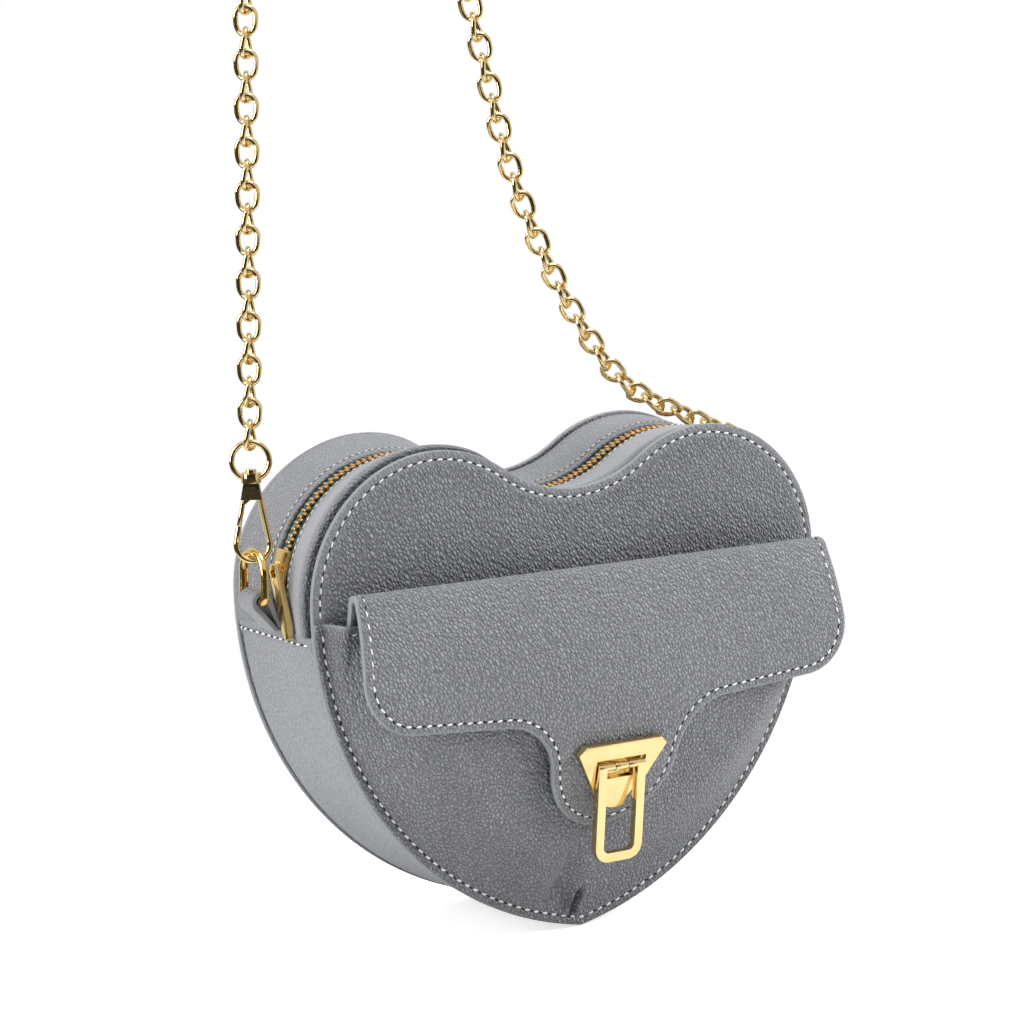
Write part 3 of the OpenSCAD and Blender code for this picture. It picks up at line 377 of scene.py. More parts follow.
edge_rows = (0.35, 0.9, 1.6, 2.1, 2.6, 3, 3.4, 3.9, 4.6, 5.6, 7, 8.8, 11, 14, 18, 23, 29, 36)
face_cut, cut_count, edge_bevel, back_inset, rim_in, rim_half = 6, 20, 0.3, 1.5, 0.32, 0.5
seam_smooth, seam_smooth_run, under_shrink, under_share = 0.6, (2.8, 6), 0.997, 0.5


def heart_panel(face, thickness):
    """Leather heart with a rounded cut edge, its face shaped by a function of x and z."""
    bm = bmesh.new()
    rim = bm.verts.layers.float.new("rim")
    smooth = bm.verts.layers.float.new("smooth")
    rows = [(back_inset, thickness), (edge_bevel, thickness), (0.05, thickness - edge_bevel),
            (0, thickness / 2), (0.1, edge_bevel)] + [(inset, 0) for inset in edge_rows]
    lines = [half_heart(bm, inset, y) for inset, y in rows]
    skin(bm, lines)
    for (inset, y), line in zip(rows, lines):
        for vert in line:
            vert[rim] = 1 if inset < rim_in else (rim_half if inset == edge_rows[0] else 0)
            vert[smooth] = seam_smooth * (1 - ease(*seam_smooth_run, inset))
    mirror_half(bm)
    fill_holes(bm)
    for i in range(-cut_count, cut_count + 1):
        at = i * face_cut
        for point, normal in (((0, 0, at), (0, 0, 1)), ((at, 0, 0), (1, 0, 0))):
            inside = [f for f in bm.faces if len(f.verts) > 4 and f.calc_center_median().y < 1]
            slice_faces(bm, inside, point, normal)
    for vert in bm.verts:
        if vert.co.y == 0:
            vert.co.y = face(vert.co.x, vert.co.z)
        elif vert.co.y < thickness / 2:
            vert.co.y += face(vert.co.x * under_shrink, vert.co.z * under_shrink) * under_share
    face_out(bm)
    return bm


def linear(red, green, blue):
    """Shader colour for a colour given as it looks on screen, each from 0 to 255."""
    return tuple(((c / 255 + 0.055) / 1.055) ** 2.4 for c in (red, green, blue)) + (1,)


def new_group(name, sockets_in, sockets_out):
    """Empty shader node group with named float, vector or colour sockets."""
    group = bpy.data.node_groups.new(name, "ShaderNodeTree")
    for label, kind, value in sockets_in:
        made = group.interface.new_socket(label, in_out="INPUT", socket_type="NodeSocket" + kind)
        if value is not None:
            made.default_value = value
    for label, kind in sockets_out:
        group.interface.new_socket(label, in_out="OUTPUT", socket_type="NodeSocket" + kind)
    return group, group.nodes.new("NodeGroupInput"), group.nodes.new("NodeGroupOutput")


def speckle(tree, vector, scale, detail=2.0, distortion=0.0):
    """Noise texture's value on given coordinates."""
    return wired(tree, "TexNoise", {"Vector": vector, "Scale": scale, "Detail": detail,
                                    "Distortion": distortion}).outputs["Fac"]


def mixed(tree, first, second, share, kind="MIX"):
    """Colour mix of two colours or sockets."""
    return wired(tree, "Mix", {"A": first, "B": second, "Factor": share}, data_type="RGBA",
                 blend_type=kind).outputs["Result"]


def relief(tree, height, strength, depth):
    """Normal of a relief, its depth in millimetres."""
    return wired(tree, "Bump", {"Height": height, "Strength": strength,
                                "Distance": depth * MM}).outputs["Normal"]


def new_finish(name):
    """New material, its node tree, its shader and the object's own coordinates in it."""
    finish = bpy.data.materials.new(name)
    finish.use_nodes = True
    tree = finish.node_tree
    place = tree.nodes.new("ShaderNodeTexCoord").outputs["Object"]
    return finish, tree, tree.nodes["Principled BSDF"], place


def grey(level):
    """Neutral colour of a level from 0 to 1."""
    return (level, level, level, 1)


pebble_scale, warp_scale, fine_scale, cloud_scale = 930, 260, 2600, 26
dome_share, crease_share, fine_share = 0.9, 0.25, 0.12
pebble_slant, pebble_l = -28, 1.7
# Grey multiplied in as painted shade: in the groove beside the zip strips' seam and in the pocket dart's
# fold.
seam_tone = 0.12


def pebble_group():
    """Grain of embossed leather: small long pebbles with creases between them."""
    tree, start, end = new_group("pebbled_grain", [("Vector", "Vector", None)],
                                 [("Height", "Float"), ("Crease", "Float"), ("Cloud", "Float")])
    place = start.outputs["Vector"]
    warp = wired(tree, "TexNoise", {"Vector": place, "Scale": warp_scale, "Detail": 2})
    bent = wired(tree, "VectorMath", {0: warp.outputs["Color"], 1: (MM, MM, MM), 2: place},
                 operation="MULTIPLY_ADD").outputs[0]
    pebble = wired(tree, "TexVoronoi", {"Vector": bent, "Scale": pebble_scale, "Smoothness": 0.3},
                   feature="SMOOTH_F1")
    crack = wired(tree, "TexVoronoi", {"Vector": bent, "Scale": pebble_scale},
                  feature="DISTANCE_TO_EDGE")
    dome = spread(tree, pebble.outputs["Distance"], 0.0, 0.75, 1, 0)
    crease = spread(tree, crack.outputs["Distance"], 0.0, 0.24)
    height = sum_of(tree, "ADD", sum_of(tree, "MULTIPLY", dome, dome_share),
                    sum_of(tree, "MULTIPLY", crease, crease_share))
    fine = sum_of(tree, "MULTIPLY", speckle(tree, place, fine_scale), fine_share)
    join(tree, end, {"Height": sum_of(tree, "ADD", height, fine), "Crease": crease,
                     "Cloud": speckle(tree, place, cloud_scale, 3)})
    return tree


pebbles = pebble_group()


def leather(name, colour, grain, rim_colour, crease=0.45, smooth_lit_colour=None):
    """Leather with pebbled grain, painted shade in the creases, soft clouding and a painted cut edge; an
    attribute adds painted shade, and a smooth part can take a lighter colour as painted light.
    """
    finish, tree, shader, place = new_finish(name)
    rim, smooth, seam = (wired(tree, "Attribute", {}, attribute_name=layer).outputs["Fac"]
                         for layer in ("rim", "smooth", "seam"))
    lie = wired(tree, "Mapping", {"Vector": place, "Rotation": (0, radians(pebble_slant), 0),
                                  "Scale": (1, 1, pebble_l)}, vector_type="TEXTURE")
    pebbled = tree.nodes.new("ShaderNodeGroup")
    pebbled.node_tree = pebbles
    join(tree, pebbled, {"Vector": lie.outputs["Vector"]})
    pale = tuple(min(c * 1.18, 1) for c in colour[:3]) + (1,)
    base = mixed(tree, colour, pale, spread(tree, pebbled.outputs["Cloud"], 0.35, 0.75, 0, 0.5))
    # A smooth part takes the lighter smooth colour, where one is given: painted light.
    base = mixed(tree, base, smooth_lit_colour or colour, smooth)
    # The grain's creases are darkened by each leather's crease grey: painted shade.
    creased = sum_of(tree, "SUBTRACT", 1, sum_of(tree, "MAXIMUM", pebbled.outputs["Crease"], smooth))
    base = mixed(tree, base, grey(crease), creased, "MULTIPLY")
    # Painted shade where the attribute asks for it: the strips' seam groove and the dart's fold.
    base = mixed(tree, base, grey(seam_tone), seam, "MULTIPLY")
    base = mixed(tree, base, rim_colour, spread(tree, rim, 0.3, 0.9))
    flat = sum_of(tree, "MAXIMUM", rim, sum_of(tree, "MULTIPLY", smooth, 0.8))
    height = sum_of(tree, "MULTIPLY", pebbled.outputs["Height"], sum_of(tree, "SUBTRACT", 1, flat))
    join(tree, shader, {"Base Color": base, "Specular IOR Level": 0.5, "Sheen Weight": 0.04,
                        "Roughness": spread(tree, pebbled.outputs["Height"], 0.2, 1.1, 0.6, 0.36),
                        "Normal": relief(tree, height, grain, 0.8)})
    return finish


paint_edge = linear(134, 137, 142)
front_leather = leather("front_leather", linear(138, 140, 144), 1.0, paint_edge)

put("front_leather_heart", heart_panel(front_face, panel_t), "bag", "front_panel",
    finish=front_leather, slot="front_leather")


def evenly(points, pitch):
    """Places along a line of points at an even pitch, each with its direction."""
    gaps = [(b - a).length for a, b in zip(points, points[1:])]
    total = sum(gaps)
    count = max(round(total / pitch), 1)
    step, at, done = total / count, 0, 0.0
    spots = []
    for i in range(count):
        want = (i + 0.5) * step
        while at < len(gaps) - 1 and done + gaps[at] < want:
            done += gaps[at]
            at += 1
        share = (want - done) / gaps[at]
        spots.append((points[at].lerp(points[at + 1], share),
                      (points[at + 1] - points[at]).normalized(), step))
    return spots


def standing(spot, along, out):
    """Matrix that puts x along a direction and z out of a surface."""
    across = out.cross(along).normalized()
    up = along.cross(across).normalized()
    turn = Matrix((along, across, up)).transposed().to_4x4()
    return Matrix.Translation(spot) @ turn


def repeat(pattern, places):
    """One mesh that holds a copy of a small shape at each place."""
    sample = bpy.data.meshes.new("pattern")
    pattern.to_mesh(sample)
    pattern.free()
    bm = bmesh.new()
    for place in places:
        count = len(bm.verts)
        bm.from_mesh(sample)
        bm.verts.ensure_lookup_table()
        bmesh.ops.transform(bm, matrix=place, verts=bm.verts[count:])
    bpy.data.meshes.remove(sample)
    return bm


def thread_finish():
    """Pale waxed thread with a fine twist."""
    finish, tree, shader, place = new_finish("pale_thread")
    strands = speckle(tree, place, 3000)
    join(tree, shader, {"Base Color": mixed(tree, linear(205, 207, 208), linear(248, 248, 246),
                                            spread(tree, strands, 0.3, 0.6)),
                        "Roughness": 0.6, "Normal": relief(tree, strands, 0.4, 0.05)})
    return finish


def hole_shade_finish():
    """Near-black painted shade in the needle holes between the stitches."""
    finish, tree, shader, place = new_finish("needle_hole_shade")
    join(tree, shader, {"Base Color": mixed(tree, linear(14, 15, 17), linear(34, 35, 38),
                                            speckle(tree, place, 2000)),
                        "Roughness": 0.85})
    return finish


pale_thread, needle_hole_shade = thread_finish(), hole_shade_finish()
stitch_pitch, stitch_w, stitch_t, stitch_slant = 3.9, 0.78, 0.5, 8
thread_share, hole_share, hole_w, hole_t = 0.616, 0.52, 0.62, 0.3
thread_lift, hole_sink = 0.08, 0.05


def sew(name, spots, body, slot, scale=1.0):
    """Row of stitches, one a spot of place, direction, pitch and outward direction."""
    pattern = bmesh.new()
    step = spots[0][2]
    slant = Matrix.Rotation(radians(stitch_slant), 3, "Z")
    thread = bmesh.ops.create_uvsphere(pattern, u_segments=6, v_segments=5, radius=0.5)["verts"]
    bmesh.ops.rotate(pattern, cent=(0, 0, 0), matrix=Matrix.Rotation(pi / 2, 3, "Y"), verts=thread)
    for vert in thread:
        vert.co.x *= 1.0 - 0.2 * abs(vert.co.x)
    bmesh.ops.scale(pattern, vec=(thread_share * step, stitch_w * scale, stitch_t * scale), verts=thread)
    bmesh.ops.rotate(pattern, cent=(0, 0, 0), matrix=slant, verts=thread)
    hole = bmesh.ops.create_uvsphere(pattern, u_segments=8, v_segments=4, radius=0.5)["verts"]
    bmesh.ops.scale(pattern, vec=(hole_share * step, hole_w * scale, hole_t * scale), verts=hole)
    bmesh.ops.rotate(pattern, cent=(0, 0, 0), matrix=slant.inverted(), verts=hole)
    bmesh.ops.translate(pattern, vec=(step / 2, 0, -hole_sink * scale), verts=hole)
    for face in pattern.faces:
        face.material_index = 1 if face.verts[0] in hole else 0
    places = [standing(spot + out * thread_lift * scale, along, out) for spot, along, _, out in spots]
    row = put(name, repeat(pattern, places), body, finish=pale_thread, slot=slot, smooth=0)
    # The sunk holes take the second material, their painted shade.
    row.data.materials.append(needle_hole_shade)
    return row


def spots_facing(points, out):
    """Spots for stitches along points that all face one way."""
    return [(p, along, step, Vector(out)) for p, along, step in evenly(points, stitch_pitch)]


def both_halves(half):
    """Points of a line of which the right half is given: the left half from its end, then the right."""
    return [Vector((-p.x, p.y, p.z)) for p in reversed(half)] + half[1:]


def heart_points(inset, y_of, keep):
    """Points along the heart's whole line at an inset, with y from a function of x and z."""
    bm = bmesh.new()
    half = [vert.co.copy() for vert in half_heart(bm, inset, 0)]
    bm.free()
    points = [Vector((p.x, y_of(p.x, p.z), p.z)) for p in both_halves(half)]
    return [p for p in points if keep(p)]


seam_top = -7.0
upper = heart_points(stitch_in, front_face, lambda p: p.z > seam_top)
sew("front_panel_stitches", spots_facing(upper, (0, -1, 0)), "bag", "front_leather")


# Back panel
# A second heart cut from the same pebbled leather, sewn 3 mm inside its painted edge to the back of
# the gusset and the back zip strip. It has no pocket and swells a little more.
def back_face(x, z):
    """Depth of the back panel's face, drawn as if it were in front."""
    d = edge_depth(x, z)
    return -panel_swell(d) * back_swell - back_wave * ease(*edge_calm, d) * waver(x, z, 11)


def to_back(bm):
    """Mirrors a piece that is drawn at the front to the back of the bag."""
    bmesh.ops.scale(bm, vec=(1, -1, 1), verts=bm.verts)
    bmesh.ops.translate(bm, vec=(0, bag_d, 0), verts=bm.verts)
    face_out(bm)


bm = heart_panel(back_face, panel_t)
to_back(bm)
put("back_leather_heart", bm, "bag", "back_panel", finish=front_leather, slot="front_leather")
line = heart_points(stitch_in, lambda x, z: bag_d - back_face(x, z), lambda p: True)
sew("back_panel_stitches", spots_facing(line, (0, 1, 0)), "bag", "front_leather")


# Lower gusset
# One softer strip of the same leather round the tip, from D-ring to D-ring. It rolls over its
# flange beside each panel, and its two upper ends are turned in and sewn over the zip strips.
seam_drop, hem_h, hem_t, hem_sew = 9, 5, 0.8, 3.3
gusset_rows = [(2.4, 1.9), (1.35, 2.15), (0.8, 3.2), (0.68, 4.8), (0.8, 7.5), (1.1, 12),
               (1.35, 18), (1.45, 27)]
gusset_inner, gusset_side = 3.0, 3.4
left_full, right_full, gusset_wave = 1.4, 0.2, 0.5
hem_groove, hem_groove_w, hem_in, hem_lift, hem_dip, hem_spans = 0.3, 0.6, 1.0, 0.35, 0.25, 40
hem_turn, hem_steps = 3, 12
hem_fall, hem_start, flange_calm, dip_calm = (hem_h - 0.6, hem_h + 0.2), (-0.1, 0.5), (2, 10), (3, 9)
side_leather = leather("side_leather", linear(142, 144, 148), 0.55, paint_edge, crease=0.8)


def below_seam(bm, inset, y):
    """Right half of the heart's line below the seam, with close points along the hem."""
    r = side_r - inset
    start = -degrees(atan2(seam_drop, sqrt(r * r - seam_drop * seam_drop)))
    co = (side_cx + r * cos(radians(start)), y, r * sin(radians(start)))
    line = bmesh.ops.create_vert(bm, co=co)["vert"]
    swing(bm, line, (side_cx, 0), hem_turn, hem_steps)
    swing(bm, line, (side_cx, 0), start - hem_turn - side_stop(inset), side_steps)
    swing(bm, line, (0, tip_cz), side_stop(inset) + 90, tip_steps)
    return line


def close_band(bm, lines):
    """Skins a ring of lines round into a closed band, mirrors it and closes its two ends."""
    skin(bm, lines + lines[:1])
    mirror_half(bm)
    fill_holes(bm)
    face_out(bm)


def out_of_side(x, z):
    """Direction out of the heart's long side at a point of the right half."""
    return Vector((abs(x) - side_cx, 0, z)).normalized()


def sag_of_gusset(x, z, y):
    """How far the soft gusset stands out or in, and its hem and the sewing on it."""
    below = -seam_drop - z
    hem = hem_t * (1 - ease(*hem_fall, below)) * ease(*hem_start, below)
    hem -= hem_groove * exp(-((below - hem_sew) / hem_groove_w) ** 2)
    middle = ease(*flange_calm, y) * ease(*flange_calm, bag_d - y)
    full = left_full if x < 0 else right_full
    return hem + middle * (gusset_wave * waver(x + y, z, 21, 34) + full)


bm = bmesh.new()
rows = gusset_rows + [(inset, bag_d - y) for inset, y in reversed(gusset_rows[:-1])]
outer = [below_seam(bm, inset, y) for inset, y in rows]
inner = [below_seam(bm, gusset_inner, y) for y in (bag_d - gusset_side, bag_d / 2, gusset_side)]
for line in outer[1:-1]:
    for vert in line:
        vert.co += out_of_side(vert.co.x, vert.co.z) * sag_of_gusset(*vert.co.xzy)
close_band(bm, outer + inner)
put("gusset_leather", bm, "bag", "lower_gusset", finish=side_leather, slot="side_leather")

hem_spots = []
for side in (-1, 1):
    z = -seam_drop - hem_sew
    r = side_r - hem_in
    points = []
    for i in range(hem_spans + 1):
        y = gusset_side + (bag_d - 2 * gusset_side) * i / hem_spans
        dip = hem_dip * ease(*dip_calm, y) * ease(*dip_calm, bag_d - y)
        out = sag_of_gusset(side * (side_cx + r), z, y)
        x = side_cx + sqrt((r + out + hem_lift - dip) ** 2 - z * z)
        points.append(Vector((side * x, y, z)))
    hem_spots += spots_facing(points, (side, 0, 0))
sew("gusset_hem_stitches", hem_spots, "bag", "side_leather")


# Zip strips
# Smooth leather strips over both lobes, one each side of the zip. Each rises from the panel's
# seam over a soft shoulder and falls to a turned edge that is sewn to the zip's tape.
# Each strip carries painted shade in the groove beside the panel's seam.
strip_rows = [(2.6, 1.9), (1.7, 2.1), (1.3, 2.5), (1.1, 2.9), (0.95, 3.4), (0.88, 3.8), (0.85, 4.3),
              (0.8, 5.2), (0.88, 6.5), (0.95, 8), (1.15, 10), (1.4, 12),
              (2.0, 16.5), (2.55, 20), (2.8, 21.6), (3.05, 22.3), (3.5, 22.55), (4.2, 22.4)]
strip_inner = [(4.4, 21), (3.6, 14), (3.0, 7), (3.2, 3)]
strip_sew_y, strip_sew_inset, strip_skin, strip_lap = 20.4, 2.45, 2.9, 0.6
left_shoulder, right_shoulder, low_shoulder, strip_wave, back_smooth = 2.3, -0.2, 2.4, 0.22, 0.35
seam_steps, hollow_half = 6, 20
low_part, hollow_calm, shoulder_rise, shoulder_fall = (0.4, 1.3), (18, 40), (2.0, 4.6), (5, 18)
smooth_run, seam_dark, wave_run = (4.2, 8), (3.2, 4.1), (3, 6)
# One leather: towards the zip its grain is smoother, and its lighter smooth colour there is painted
# light.
strip_leather = leather("strip_leather", linear(132, 134, 138), 0.7, paint_edge, crease=0.7,
                        smooth_lit_colour=linear(147, 149, 153))


def above_seam(bm, inset, y, drop=seam_drop + strip_lap):
    """Right half of the heart's line over the lobe, from the hollow to just under the seam."""
    line = over_lobe(bm, inset, y)
    swing(bm, line, (side_cx, 0), degrees(drop / side_r), seam_steps)
    return line


def strip_bulge(x, z, y):
    """How far the soft shoulder stands out beside the panel, more on the left lobe than the right."""
    up = atan2(z, abs(x) - lobe_x)
    full = left_shoulder if x < 0 else (
        right_shoulder + (low_shoulder - right_shoulder) * (1 - ease(*low_part, up)))
    full *= ease(*hollow_calm, abs(x))
    return full * ease(*shoulder_rise, y) * (1 - ease(*shoulder_fall, y))


def out_of_top(x, z):
    """Direction out of the heart over a lobe or in the hollow between the lobes."""
    if abs(x) < hollow_half:
        return Vector((0, 0, 1))
    return Vector((x - (lobe_x if x > 0 else -lobe_x), 0, max(z, 0))).normalized()


for name, back in (("front", False), ("back", True)):
    bm = bmesh.new()
    smooth = bm.verts.layers.float.new("smooth")
    seam = bm.verts.layers.float.new("seam")
    lines = []
    for inset, y in strip_rows + strip_inner:
        lines.append(above_seam(bm, inset, y))
        for vert in lines[-1]:
            vert[smooth] = ease(*smooth_run, y) * (back_smooth if back else 1)
            # Painted shade in the groove at the foot of the shoulder, beside the panel's seam.
            vert[seam] = 1 - ease(*seam_dark, y)
    close_band(bm, lines)
    for vert in bm.verts:
        x, y, z = vert.co
        if edge_depth(x, z) < strip_skin:
            lift = strip_bulge(x, z, y) + strip_wave * waver(x, z, 31 + y / 9, 26) * ease(*wave_run, y)
            vert.co += out_of_top(x, z) * lift
    if back:
        to_back(bm)
    put(name + "_strip_leather", bm, "bag", name + "_zip_strip", finish=strip_leather,
        slot="strip_leather")


# Zip
# Two woven teal-grey tapes lie under the strips' edges, each with a row of copper-coloured metal
# teeth that mesh along the middle, and a clamp across both rows at each end.
zip_inset, tooth_pitch, tooth_lift, row_end = 4.6, 2.3, 0.8, 1.2
tooth_size, tooth_shift, head_shares, tooth_bevel = (1.5, 2.5, 1.2), 0.95, (0.85, 1, 0.75), 0.38
lobe_zip_r, valley_zip_r = lobe_r - zip_inset, valley_r + zip_inset
zip_weave_pitch = 0.5 * MM


def tape_finish():
    """Woven tape: fine ribs across the tape's length."""
    finish, tree, shader, place = new_finish("zip_tape_weave")
    rib = wired(tree, "TexWave", {"Vector": place, "Scale": 0.05 / zip_weave_pitch, "Distortion": 1.5},
                bands_direction="DIAGONAL").outputs["Fac"]
    join(tree, shader, {"Base Color": mixed(tree, linear(40, 84, 92), linear(92, 132, 136), rib),
                        "Roughness": 0.8, "Normal": relief(tree, rib, 0.5, 0.1)})
    return finish


def metal(name, colour, roughness, tarnish, scratch):
    """Plated metal: polished, with faint hairlines and a slightly deeper tone in patches."""
    finish, tree, shader, place = new_finish(name)
    patches = spread(tree, speckle(tree, place, 90, 3), 0.45, 0.75, 0, 0.6)
    hairs = speckle(tree, place, 1400, 2, 0.4)
    join(tree, shader, {"Metallic": 1.0, "Base Color": mixed(tree, colour, tarnish, patches),
                        "Roughness": spread(tree, hairs, 0.35, 0.75, roughness, roughness + 0.1),
                        "Normal": relief(tree, hairs, scratch, 0.05)})
    return finish


tape_weave = tape_finish()
tooth_copper = metal("tooth_copper", linear(242, 190, 122), 0.24, linear(206, 140, 70), 0.15)

tape_rows = [(4.6, 17.1), (4.55, 20), (4.6, 23), (4.6, 26.2), (4.9, 26.4), (5.2, 26.2),
             (5.2, 20), (5.2, 17.1)]
for name, back in (("front", False), ("back", True)):
    bm = bmesh.new()
    close_band(bm, [above_seam(bm, inset, bag_d - y if back else y, seam_drop - 1)
                    for inset, y in tape_rows])
    put(name + "_tape", bm, "bag", name + "_zip_tape", finish=tape_weave, slot="tape_fabric")

lobe_run = radians(lobe_end) * lobe_zip_r
valley_run = radians(2 * valley_turn) * valley_zip_r
zip_run = 2 * lobe_run + valley_run


def zip_spot(run):
    """Place on the zip's line after a run from its left end, and the direction out of the bag."""
    if run < lobe_run:
        a = pi - run / lobe_zip_r
        return -lobe_x + lobe_zip_r * cos(a), lobe_zip_r * sin(a), a
    if run < lobe_run + valley_run:
        a = -pi / 2 - radians(valley_turn) + (run - lobe_run) / valley_zip_r
        return valley_zip_r * cos(a), valley_cz + valley_zip_r * sin(a), a + pi
    a = radians(lobe_end) - (run - lobe_run - valley_run) / lobe_zip_r
    return lobe_x + lobe_zip_r * cos(a), lobe_zip_r * sin(a), a


def on_zip(run, height, side):
    """Matrix of a piece on the zip: x out of the bag, y across towards one side."""
    x, z, a = zip_spot(run)
    out = Vector((cos(a), 0, sin(a)))
    across = Vector((0, side, 0))
    turn = Matrix((out, across, out.cross(across))).transposed().to_4x4()
    return Matrix.Translation(Vector((x, bag_d / 2, z)) + out * height) @ turn


def tooth():
    """One tooth: a clamped foot on the tape's edge and a narrower rounded head."""
    shape = bmesh.new()
    bmesh.ops.create_cube(shape, size=1)
    bmesh.ops.scale(shape, vec=tooth_size, verts=shape.verts)
    bmesh.ops.translate(shape, vec=(0, tooth_shift, 0), verts=shape.verts)
    bmesh.ops.scale(shape, vec=head_shares, verts=[v for v in shape.verts if v.co.y < 0])
    bmesh.ops.bevel(shape, geom=shape.edges[:], offset=tooth_bevel, segments=2, profile=0.5,
                    affect="EDGES", material=-1)
    return shape


for name, side, lead in (("front", -1, row_end), ("back", 1, row_end + tooth_pitch / 2)):
    count = int((zip_run - lead - row_end) / tooth_pitch)
    places = [on_zip(lead + i * tooth_pitch, tooth_lift, side) for i in range(count + 1)]
    put(name + "_teeth", repeat(tooth(), places), "bag", name + "_zip_teeth",
        finish=tooth_copper, slot="zip_brass", smooth=20)

stop_size, stop_bevel, stop_out = (1.5, 5.8, 2.2), 0.3, 0.8
bm = bmesh.new()
for sign in (-1, 1):
    made = bmesh.ops.create_cube(bm, size=1)["verts"]
    bmesh.ops.scale(bm, vec=stop_size, verts=made)
    bmesh.ops.translate(bm, vec=(sign * (lobe_x + lobe_zip_r + stop_out), bag_d / 2, -stop_size[2]),
                        verts=made)
bmesh.ops.bevel(bm, geom=bm.edges[:], offset=stop_bevel, segments=2, profile=0.5, affect="EDGES",
                material=-1)
put("zip_end_stops", bm, "bag", "zip_stops", finish=tooth_copper, slot="zip_brass")

strip_stitch_pitch, strip_stitch_scale, strip_stitch_lift = 2.6, 0.5, 0.1
for name, back in (("front", False), ("back", True)):
    bm = bmesh.new()
    y = bag_d - strip_sew_y if back else strip_sew_y
    half = [v.co.copy() for v in above_seam(bm, strip_sew_inset, y)]
    bm.free()
    spots = []
    for p, along, step in evenly(both_halves(half), strip_stitch_pitch):
        out = Vector((-along.z, 0, along.x))
        spots.append((p + out * strip_stitch_lift, along, step, out))
    sew(name + "_zip_stitches", spots, "bag", "strip_leather", strip_stitch_scale)


# Lining
# Thin woven fabric bag inside the leather, sewn to the zip's tapes and open along the zip.
# Only its mouth can be seen.
def cast(name, node, finish, bevel=0.0, smooth=30):
    """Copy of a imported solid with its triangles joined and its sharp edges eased."""
    solid = frame["nodes"][node]
    bm = bmesh.new()
    bm.from_mesh(solid.data)
    bmesh.ops.remove_doubles(bm, verts=bm.verts, dist=0.002 * MM)
    bmesh.ops.dissolve_limit(bm, angle_limit=radians(1), verts=bm.verts, edges=bm.edges)
    if bevel:
        sharp = [e for e in bm.edges if len(e.link_faces) == 2
                 and e.calc_face_angle(0) > radians(smooth)]
        bmesh.ops.bevel(bm, geom=sharp, offset=bevel * MM, segments=2, profile=0.5,
                        affect="EDGES", clamp_overlap=True, material=-1)
    piece = shown(name, bm, smooth)
    piece.data.materials.append(finish)
    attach(piece, solid["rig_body"])
    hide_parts(node)


def cloth_finish(name, dark, pale):
    """Plain woven cloth with a fine thread bump."""
    finish, tree, shader, place = new_finish(name)
    threads = speckle(tree, place, 1800, 1)
    join(tree, shader, {"Base Color": mixed(tree, dark, pale, threads), "Roughness": 0.85,
                        "Normal": relief(tree, threads, 0.3, 0.1)})
    return finish


lining_cloth = cloth_finish("lining_cloth", linear(72, 74, 78), linear(104, 106, 110))
cast("lining_bag", "lining", lining_cloth)


# Front pocket
# One puffed leather panel sewn round the heart's lower edge, open under the flap. Its mouth is
# folded and sewn and passes over the flap's rear leg. At the tip it is pinched into a short dart.
pocket_depth, pocket_t, mouth_drop = 22, 1.8, 4.8
mouth_share, deepest_share, fall_power = 0.77, 0.3, 1.15
pocket_low = tip_cz - tip_r
side_rise_start, side_rise_run = 3.2, 24
leg_out, leg_lean, leg_end = 11.3, 0.326, 6.4
mouth_hem, mouth_sew = 3.4, 2.5
dart_x, dart_top, dart_w, dart_slope, dart_d = -6.0, -108, 0.9, 0.3, 2.8
dart_lip, dart_lip_at, dart_lip_w = 0.9, 2.0, 0.8
hollow_x, hollow_w, hollow_slope, hollow_d = -12.5, 4.6, 0.12, 3.2
mouth_fold, mouth_groove, mouth_groove_w = 0.45, 0.3, 0.7
seam_rise, bend_power, pocket_wave, fine_wave, least_out = 0.9, 8, 0.6, 0.15, 0.2
dart_foot, dart_head, hollow_foot, hollow_head = (3, 5.5), (dart_top - 3, dart_top + 1), (4, 10), (14, 40)
seam_run, fold_fall, fold_start, fold_near = (-0.2, 0.9), (mouth_hem - 0.5, mouth_hem + 0.3), (0, 0.6), 12
soft_side, soft_mouth, fine_run, pocket_groove = (8, 24), (4, 16), (6, 12), 0.8
tip_join_z = tip_cz + tip_r * sin(radians(side_stop(0)))


def pocket_rise(z):
    """Share of the pocket's depth at a height."""
    down = (-mouth_drop - z) / (-mouth_drop - pocket_low)
    if down < deepest_share:
        return 1 - (1 - mouth_share) * ((deepest_share - down) / deepest_share) ** 2
    return 1 - ((down - deepest_share) / (1 - deepest_share)) ** fall_power


def dart_pinch(x, z):
    """How deep into the short pinched fold at the tip a point lies, and its distance from it."""
    tip_z = z - pocket_low
    aside = x - dart_x - dart_slope * tip_z
    reach = ease(*dart_foot, tip_z) * (1 - ease(*dart_head, z))
    return exp(-(aside / dart_w) ** 2) * reach, abs(aside), reach


